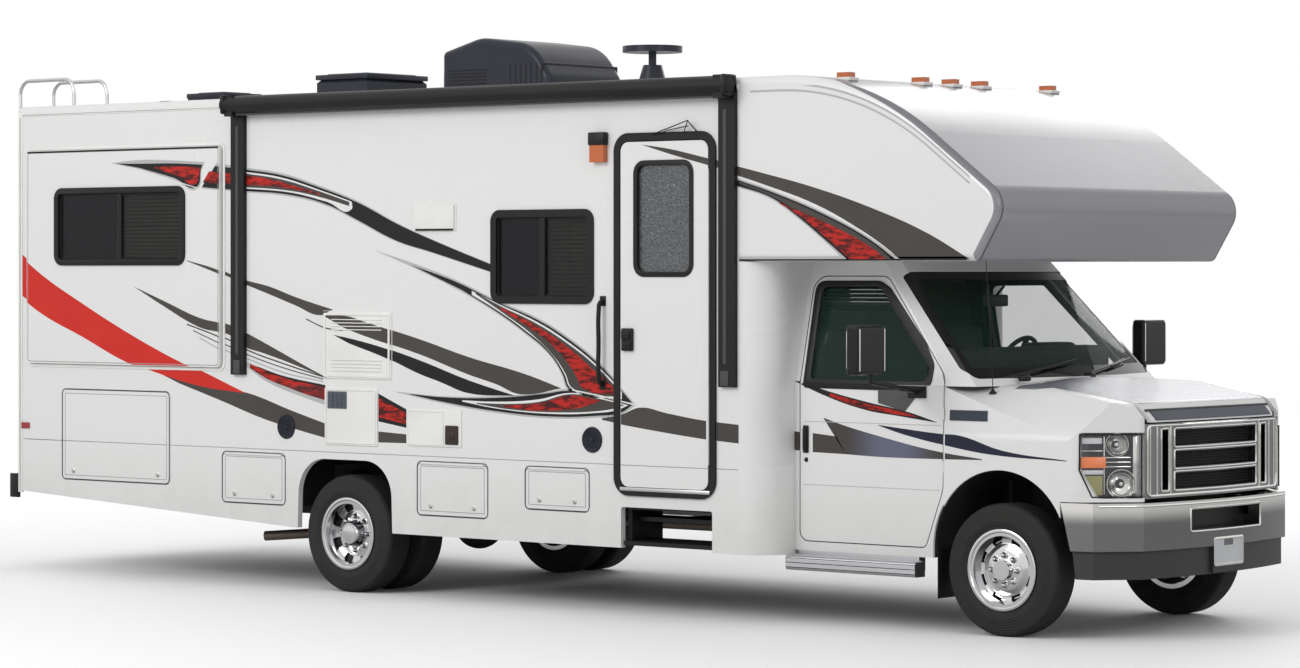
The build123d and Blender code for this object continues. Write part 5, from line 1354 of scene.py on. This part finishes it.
# %% Hood trim, bumper bead and blank plate
blue_black = plastic("hood_trim_blue", (0.035, 0.045, 0.062), 0.3)
finished(draped("hood", "front", (-0.735, 0.735), (1.214, 1.264), 0.001, 0.006), "hood_trim", "hood",
    "frame_black", blue_black)
trim_edge = draped("hood", "front", (-0.715, 0.715), (1.264, 1.272), 0.001, 0.008)
black("hood_trim_edge", trim_edge, body="hood")
slot_rim = rim_on("front_bumper", dense(rounded(-0.373, 0.373, 0.592, 0.723, 0.012, 2)), 0.006, 0.001)
bead_row = [(y / 20, 0.748) for y in range(-19, 20)]
bead = [hit("front_bumper", (6, y, z), (-1, 0, 0)) for y, z in bead_row]
top_bead = tube([place + Vector((0.001, 0, 0)) for place in bead if place is not None], 0.006, sides=2)
shiny("bumper_rims", slot_rim, top_bead)
slot_back = block((4.372, -0.45, 0.565), (4.377, 0.45, 0.742), 0.001, 1)
black("bumper_slot_panel", slot_back)
plate_frame = ring((-0.152, 0.152, 0.392, 0.544, 0.012), "front", 4.5015, 4.508, 0.006, 0.008, 0.0015)
shiny("front_plate_frame", plate_frame)
blank = plastic("blank_plate", (0.5, 0.51, 0.52), 0.35)
blank_plate = plate([rounded(-0.150, 0.150, 0.394, 0.542, 0.01)], "front", 4.5012, 4.5045, 0.0008)
plate_screws = [turned([(0.0, 0.003), (0.006, 0.002), (0.007, 0.0)], (4.5045, y, 0.527), "X", 16)
                for y in (-0.09, 0.09)]
finished(joined([blank_plate, *plate_screws]), "front_plate", "coach", "panel_white", blank)

# %% Wipers, aerial and inside mirror
wipers = []
for foot, tip in (((-0.62, 1.440), (-0.08, 1.505)), ((0.05, 1.440), (0.60, 1.505))):
    spots = []
    for number in range(9):
        y = foot[0] + (tip[0] - foot[0]) * number / 8
        z = foot[1] + (tip[1] - foot[1]) * number / 8
        place = hit("windshield", (6, y, z), (-1, 0, 0))
        if place is not None:
            spots.append(place + Vector((0.018, 0, 0.012)))
    wipers.append(tube(spots, 0.0065, sides=2))
    blade = [spot + Vector((-0.008, 0.02, -0.004)) for spot in spots[3:]]
    wipers.append(tube([spot + Vector((0, 0.06, 0.012)) for spot in blade], 0.005, sides=2))
    wipers.append(block((3.515, foot[0] - 0.03, 1.415), (3.575, foot[0] + 0.03, 1.452), 0.012))
black("wipers", *wipers)
mast_foot = hit("front_wings", (3.50, -0.87, 3), (0, 0, -1)) or Vector((3.50, -0.87, 1.385))
mast = tube([mast_foot + Vector((0, 0, 0.02)), mast_foot + Vector((-0.02, 0, 0.38)),
    mast_foot + Vector((-0.05, 0, 0.76))], 0.0025, sides=2)
mast_base = turned([(0.0, 0.028), (0.006, 0.026), (0.012, 0.014), (0.02, 0.006), (0.024, 0.0)],
    mast_foot, "Z", 24)
black("wing_aerial", mast, mast_base)
inside_mirror = [block((2.905, -0.13, 1.83), (2.925, 0.13, 1.90), 0.012),
                 tube([(2.92, 0, 1.89), (2.98, 0, 1.95)], 0.008)]
black("inside_mirror", *inside_mirror)

# %% [markdown]
# ## Cab sides
# The door glass sits in a broad rubber frame on the leaning side of the cab. The frame is drawn flat
# and every point is then set on the lean. Mirrors and a handle finish the door, and a blank badge sits
# on the wing.

# %% The lean of the cab side
def cab_skin(x, z):
    """How far the cab's side is from the centre plane at a place."""
    share = max(0.0, (z - 1.39) / 0.72)
    rear_y = 1.0 - share * 0.165
    turn_x, turn_y = 3.305 - share * 0.6, 0.985 - share * 0.18
    along = (x - 2.135) / (turn_x - 2.135)
    return rear_y + (turn_y - rear_y) * along if share > 0 else 1.0


def leaned(piece):
    for vertex in piece.data.vertices:
        vertex.co.y += 1.0 - cab_skin(vertex.co.x, vertex.co.z)
    return piece


# %% Door glass frame, mirror trim and handle
glass_rubber = plate([
    softened([(2.258, 1.362, 0.03), (3.10, 1.357, 0.08), (3.160, 1.40, 0.05), (3.162, 1.51, 0.08),
        (3.086, 1.625, 0.05), (2.775, 1.945, 0.05), (2.70, 1.985, 0.09), (2.252, 1.984, 0.07)]),
    softened([(2.304, 1.414, 0.03), (3.112, 1.414, 0.05), (3.138, 1.482, 0.04), (2.702, 1.951, 0.06),
        (2.298, 1.947, 0.05)]),
], "right", 0.9985, 1.0045, 0.0015)
door_glass_frame = leaned(modified(glass_rubber, "TRIANGULATE"))
both_sides(door_glass_frame, "cab_glass_frame", "frame_black", trim_black, "cab_door_right", "cab_door_left")
sail = plate([
    softened([(2.80, 1.362, 0.005), (3.095, 1.360, 0.01), (2.985, 1.243, 0.02), (2.80, 1.286, 0.005)]),
], "right", 1.0006, 1.0075, 0.0015)
grey_trim = plastic("sail_grey", (0.075, 0.078, 0.075), 0.25)
both_sides(sail, "mirror_sail", "frame_black", grey_trim, "cab_door_right", "cab_door_left")
handle = joined([
    block((2.262, -1.012, 0.985), (2.300, -1.0005, 1.145), 0.006),
    block((2.269, -1.026, 1.0), (2.293, -1.010, 1.13), 0.006),
    turned([(0.0, 0.006), (0.012, 0.005), (0.014, 0.0)], (2.281, -1.0005, 0.945), "-Y", 24),
])
both_sides(handle, "cab_door_handle", "frame_black", trim_black, "cab_door_right", "cab_door_left")
strips = [block((3.0995, -y - 0.004, 1.482), (3.104, -y + 0.004, 1.718), 0.0015, 1) for y in (1.354, 1.586)]
both_sides(joined(strips), "mirror_strips", "chrome_trim", rim_chrome, "cab_door_right", "cab_door_left")
pane = plate([rounded(-1.585, -1.355, 1.485, 1.715, 0.02)], "rear", -3.0115, -3.006, 0.001)
both_sides(pane, "mirror_pane", "chrome_trim", rim_chrome, "cab_door_right", "cab_door_left")
# %% Badge, mud flaps, running boards, dash and door creases
badge = draped("front_wings", "right", (3.292, 3.546), (1.199, 1.258), 0.0005, 0.004, 8)
both_sides(badge, "blank_badge", "frame_black", blue_black)
mud_flap = block((3.20, -0.985, 0.19), (3.206, -0.735, 0.46), 0.002, 1)
both_sides(mud_flap, "mud_flap", "tyre_rubber", trim_black)
ridges = row_of(block((2.22, -1.092, 0.3945), (3.11, -1.087, 0.3985), 0.001, 1), 9, (0, 0.0105, 0))
both_sides(ridges, "running_board_ridges", "bright_aluminium", bright)
board_lines = [block((2.206, -1.1015, z), (3.124, -1.0985, z + 0.004), 0.001, 1)
               for z in (0.325, 0.352, 0.378)]
both_sides(joined(board_lines), "running_board_lines", "frame_black", trim_black)
dash_hood = block((2.985, -0.80, 1.43), (3.215, 0.80, 1.595), 0.05, 4)
wheel_hood = block((2.93, 0.22, 1.45), (3.10, 0.62, 1.615), 0.04, 4)
finished(joined([dash_hood, wheel_hood]), "dash_hood", "coach", "cab_trim", cab_trim)
creases = [block((2.26, -1.0012, z), (x1, -0.9995, z + 0.004), 0.0004, 1)
           for x1, z in ((3.235, 1.166), (3.23, 0.800))]
crease_grey = plastic("crease_shadow", (0.42, 0.42, 0.42), 0.5)
both_sides(joined(creases), "cab_door_creases", "body_white", crease_grey, "cab_door_right", "cab_door_left")
print("cab sides done")

# %% [markdown]
# ## Seams, mouldings and hardware of the coach
# A coach builder covers every joint: mouldings on the corners, a rail along the roof, a thin dark
# gasket round each baggage door and the slide-out room. Latches, castings and steps come last.

# %% Gaskets, latches and the slide-out room's edge
gasket = plastic("gasket_grey", (0.06, 0.06, 0.062), 0.6)
seam_grey = plastic("seam_grey", (0.3, 0.3, 0.3), 0.6)
gaskets = []
for letter in "abcde":
    node = "baggage_door_" + letter
    (x0, x1), (y0, _), (z0, z1) = box_of(node)
    side = "right" if y0 < 0 else "left"
    mark = -1 if y0 < 0 else 1
    gaskets.append(ring((x0, x1, z0, z1, 0.03), side, 1.2695, 1.2722, 0.009, -0.003, 0.001))
    latches = []
    for x in (x0 + 0.11, x1 - 0.11):
        aim = "-Y" if mark < 0 else "Y"
        latches.append(turned([(0.0, 0.009), (0.012, 0.009), (0.0155, 0.006), (0.017, 0.0)],
            (x, mark * 1.2698, z0 + 0.055), aim, 28))
        low, high = sorted((mark * 1.2775, mark * 1.282))
        latches.append(block((x - 0.003, low, z0 + 0.045), (x + 0.003, high, z0 + 0.065), 0.001, 1))
    finished(joined(latches), node + "_latches", node, "chrome_trim", rim_chrome)
    lip = ring((x0, x1, z0, z1, 0.03), side, 1.2697, 1.2712, -0.022, 0.026, 0.0005)
    finished(lip, node + "_groove", node, "body_white", seam_grey)
finished(joined(gaskets), "baggage_gaskets", "coach", "frame_black", gasket)
(slide_x0, slide_x1), _, (slide_z0, slide_z1) = box_of("slide_room")
slide_edge = ring((slide_x0, slide_x1, slide_z0, slide_z1, 0.03), "right", 1.2992, 1.3015, -0.010, 0.015,
    0.0008)
finished(slide_edge, "slide_room_groove", "slide_room", "body_white", seam_grey)
top_line = block((slide_x0 + 0.01, -1.3035, slide_z1 - 0.014), (slide_x1 - 0.01, -1.2995, slide_z1 - 0.002),
    0.001, 1)
black("slide_room_top_seal", top_line, body="slide_room")
wall_seal = ring((slide_x0, slide_x1, slide_z0, slide_z1, 0.03), "right", 1.2695, 1.276, 0.026, -0.006, 0.002)
finished(wall_seal, "slide_wall_seal", "coach", "body_white", trim_white)

# %% Corner mouldings, roof rail and belt line
mouldings = []
for sign in (-1, 1):
    low, high = sorted((sign * 1.262, sign * 1.2765))
    mouldings.append(block((-4.318, low, 0.52), (-4.278, high, 3.12), 0.003, 2))
    low, high = sorted((sign * 1.266, sign * 1.2755))
    mouldings.append(block((-4.31, low, 3.096), (1.99, high, 3.118), 0.003, 2))
    mouldings.append(block((-4.3195, sign * 1.25 - 0.02, 0.52), (-4.312, sign * 1.25 + 0.02, 3.12), 0.002, 2))
pale("coach_mouldings", *mouldings)
inserts = [block((-4.302, sign * 1.2768 - 0.0006, 0.53), (-4.294, sign * 1.2768 + 0.0006, 3.09), 0.0003, 1)
    for sign in (-1, 1)]
inserts += [block((-4.30, sign * 1.2758 - 0.0005, 3.104), (1.98, sign * 1.2758 + 0.0005, 3.108), 0.0003, 1)
    for sign in (-1, 1)]
finished(joined(inserts), "moulding_inserts", "coach", "frame_black", seam_grey)
line(seam_grey, 0, [(-4.27, 0.887), (0.0, 0.887), (1.99, 0.887)], 0.005)

# %% Overcab: grey lines of painted shade for the ridges along its edge and its lower lip, a painted black shadow under the lip, and the marker lamps' bases
def ridge(below):
    places = []
    for number in range(15):
        x = 2.08 + number * 0.11
        top = hit("overcab_cap", (x, -1.2, 5), (0, 0, -1))
        if top is not None:
            places.append((x, top.z - below))
    return places


# Painted shade: grey film lines stand in for the shading of the cap's ridges and of its lower lip.
for below in (0.052, 0.088):
    line(grey_film_and_painted_shade, 1, ridge(below), 0.012)
line(grey_film_and_painted_shade, 1, [(2.0, 2.114), (2.8, 2.114), (3.60, 2.114)], 0.012)
# Painted shadow: a black line under the overcab's lower lip.
line(black_film_and_painted_shadow, 0, [(2.0, 2.104), (2.8, 2.104), (3.60, 2.104)], 0.010)
bases = []
for y in (-1.037, -0.305, 0.0, 0.305, 1.037):
    top = hit("overcab_cap", (2.595, y, 5), (0, 0, -1))
    bases.append(block((2.535, y - 0.048, top.z - 0.01), (2.655, y + 0.048, top.z + 0.012), 0.006, 2))
pale("marker_bases", *bases)
print("seams and mouldings done")

# %% Awning castings and roller cloth
castings = []
for x in (-2.2, 1.985):
    step = 0.028 if x < 0 else -0.028
    low, high = sorted((x, x + step))
    castings.append(block((low, -1.402, 3.055), (high, -1.272, 3.18), 0.02, 3))
    castings.append(turned([(0.0, 0.004), (0.03, 0.004), (0.045, 0.0), (0.062, 0.0), (0.062, -0.02)],
                           (x, -1.342, 3.115), "-X" if x < 0 else "X", 32))
black("awning_castings", *castings)
awning_rail = block((-2.17, -1.284, 3.085), (1.955, -1.2695, 3.11), 0.004, 2)
finished(awning_rail, "awning_rail", "coach", "frame_black", gasket)
hem = block((-2.10, -1.352, 3.045), (1.90, -1.338, 3.066), 0.004, 2)
finished(hem, "awning_hem", "coach", "frame_black", gasket)
feet = []
for x0 in (-2.19, 1.865):
    feet.append(block((x0 + 0.018, -1.306, 1.372), (x0 + 0.078, -1.2985, 1.46), 0.004, 2))
    feet.append(block((x0 + 0.036, -1.3025, 1.50), (x0 + 0.060, -1.2985, 2.98), 0.001, 1))
finished(joined(feet), "awning_arm_channels", "coach", "frame_black", gasket)

# %% Porch lamp cap, wire bracket, threshold and step treads
lamp_cap = block((0.878, -1.318, 2.79), (1.003, -1.2695, 2.868), 0.008, 2)
black("porch_lamp_cap", lamp_cap)
bracket = [tube([(1.359, -1.29, 2.844), (1.647, -1.315, 2.92), (1.696, -1.29, 2.856)], 0.004, sides=2),
           tube([(1.40, -1.29, 2.846), (1.49, -1.30, 2.868), (1.655, -1.315, 2.888)], 0.003, sides=2),
           tube([(1.60, -1.29, 2.850), (1.647, -1.315, 2.915)], 0.003, sides=2)]
black("door_wire_bracket", *bracket)
threshold = block((1.105, -1.288, 0.735), (1.79, -1.27, 0.757), 0.003, 2)
finished(threshold, "door_threshold", "coach", "bright_aluminium", bright)
(step_x0, step_x1), (step_y0, _), (_, step_z1) = box_of("entry_step")
tread = block((step_x0 + 0.03, step_y0 + 0.004, step_z1 + 0.0005),
    (step_x1 - 0.03, step_y0 + 0.016, step_z1 + 0.0035), 0.001, 1)
finished(row_of(tread, 8, (0, 0.03, 0)), "step_treads", "entry_step", "bright_aluminium", gasket)

# %% Roof: louvres on the air conditioner, lids on the vents
ac = [row_of(block((-0.60, -0.372, 3.215), (-0.585, 0.372, 3.37), 0.003, 1), 7, (0.045, 0, 0))]
for sign in (-1, 1):
    low, high = sorted((sign * 0.3695, sign * 0.3735))
    ac.append(row_of(block((-1.13, low, 3.205), (-0.80, high, 3.213), 0.001, 1), 7, (0, 0, 0.022)))
finished(joined(ac), "ac_louvres", "coach", "roof_unit", trim_black)
lids = []
roof_top = 3.165
vents = ((-2.415, -1.945, 0.29, 0.19), (-3.795, -3.435, 0.18, 0.11), (0.935, 1.295, 0.18, 0.06))
for x0, x1, half_width, high in vents:
    level = roof_top + high
    lids.append(block((x0 - 0.008, -half_width - 0.008, level - 0.03),
        (x1 + 0.008, half_width + 0.008, level + 0.004), 0.006, 2))
    lids.append(block((x0 + 0.05, -half_width + 0.05, level + 0.003),
        (x1 - 0.05, half_width - 0.05, level + 0.012), 0.006, 2))
finished(joined(lids), "roof_vent_lids", "coach", "roof_unit", roof_plastic)
seams = [block((x - 0.05, -1.24, 3.1655), (x + 0.05, 1.24, 3.168), 0.001, 1) for x in (-2.9, -0.1)]
pale("roof_sealant", *seams)

# %% Rear: blank plate, lamp rims, reverse lamps and bumper caps
rear_plate = plate([rounded(-0.15, 0.15, 0.86, 1.01, 0.01)], "rear", 4.3155, 4.3185, 0.0008)
finished(rear_plate, "rear_plate", "coach", "panel_white", blank)
rear_frame = ring((-0.15, 0.15, 0.86, 1.01, 0.01), "rear", 4.315, 4.321, 0.012, -0.002, 0.0015)
black("rear_plate_frame", rear_frame)
rims = []
for sign in (-1, 1):
    low, high = sorted((sign * 1.066, sign * 1.194))
    rims.append(ring((low, high, 0.696, 0.984, 0.012), "rear", 4.3145, 4.336, 0.008, -0.001, 0.002))
    rims.append(block((-4.3405, low + 0.008, 0.832), (-4.337, high - 0.008, 0.842), 0.001, 1))
shiny("tail_lamp_rims", *rims)
clear_parts = [block((-4.3415, sign * 1.13 - 0.052, 0.79), (-4.338, sign * 1.13 + 0.052, 0.83), 0.001, 1)
    for sign in (-1, 1)]
finished(joined(clear_parts), "reverse_lamps", "coach", "lamp_clear", clear_block)
_, (bumper_y0, bumper_y1), (bumper_z0, bumper_z1) = box_of("rear_bumper")
caps = [block((-4.458, min(y, y + step), bumper_z0 - 0.003), (-4.365, max(y, y + step), bumper_z1 + 0.002),
    0.006, 2) for y, step in ((bumper_y0 - 0.002, 0.02), (bumper_y1 + 0.002, -0.02))]
black("rear_bumper_caps", *caps)
print("coach details done")

# %% Join the films of each body
for (body, word, finish_name, finish), parts in films.items():
    finished(joined(parts), f"{body}_{finish_name}_{word}", body, "body_white", finish)
print("films:", len(films))
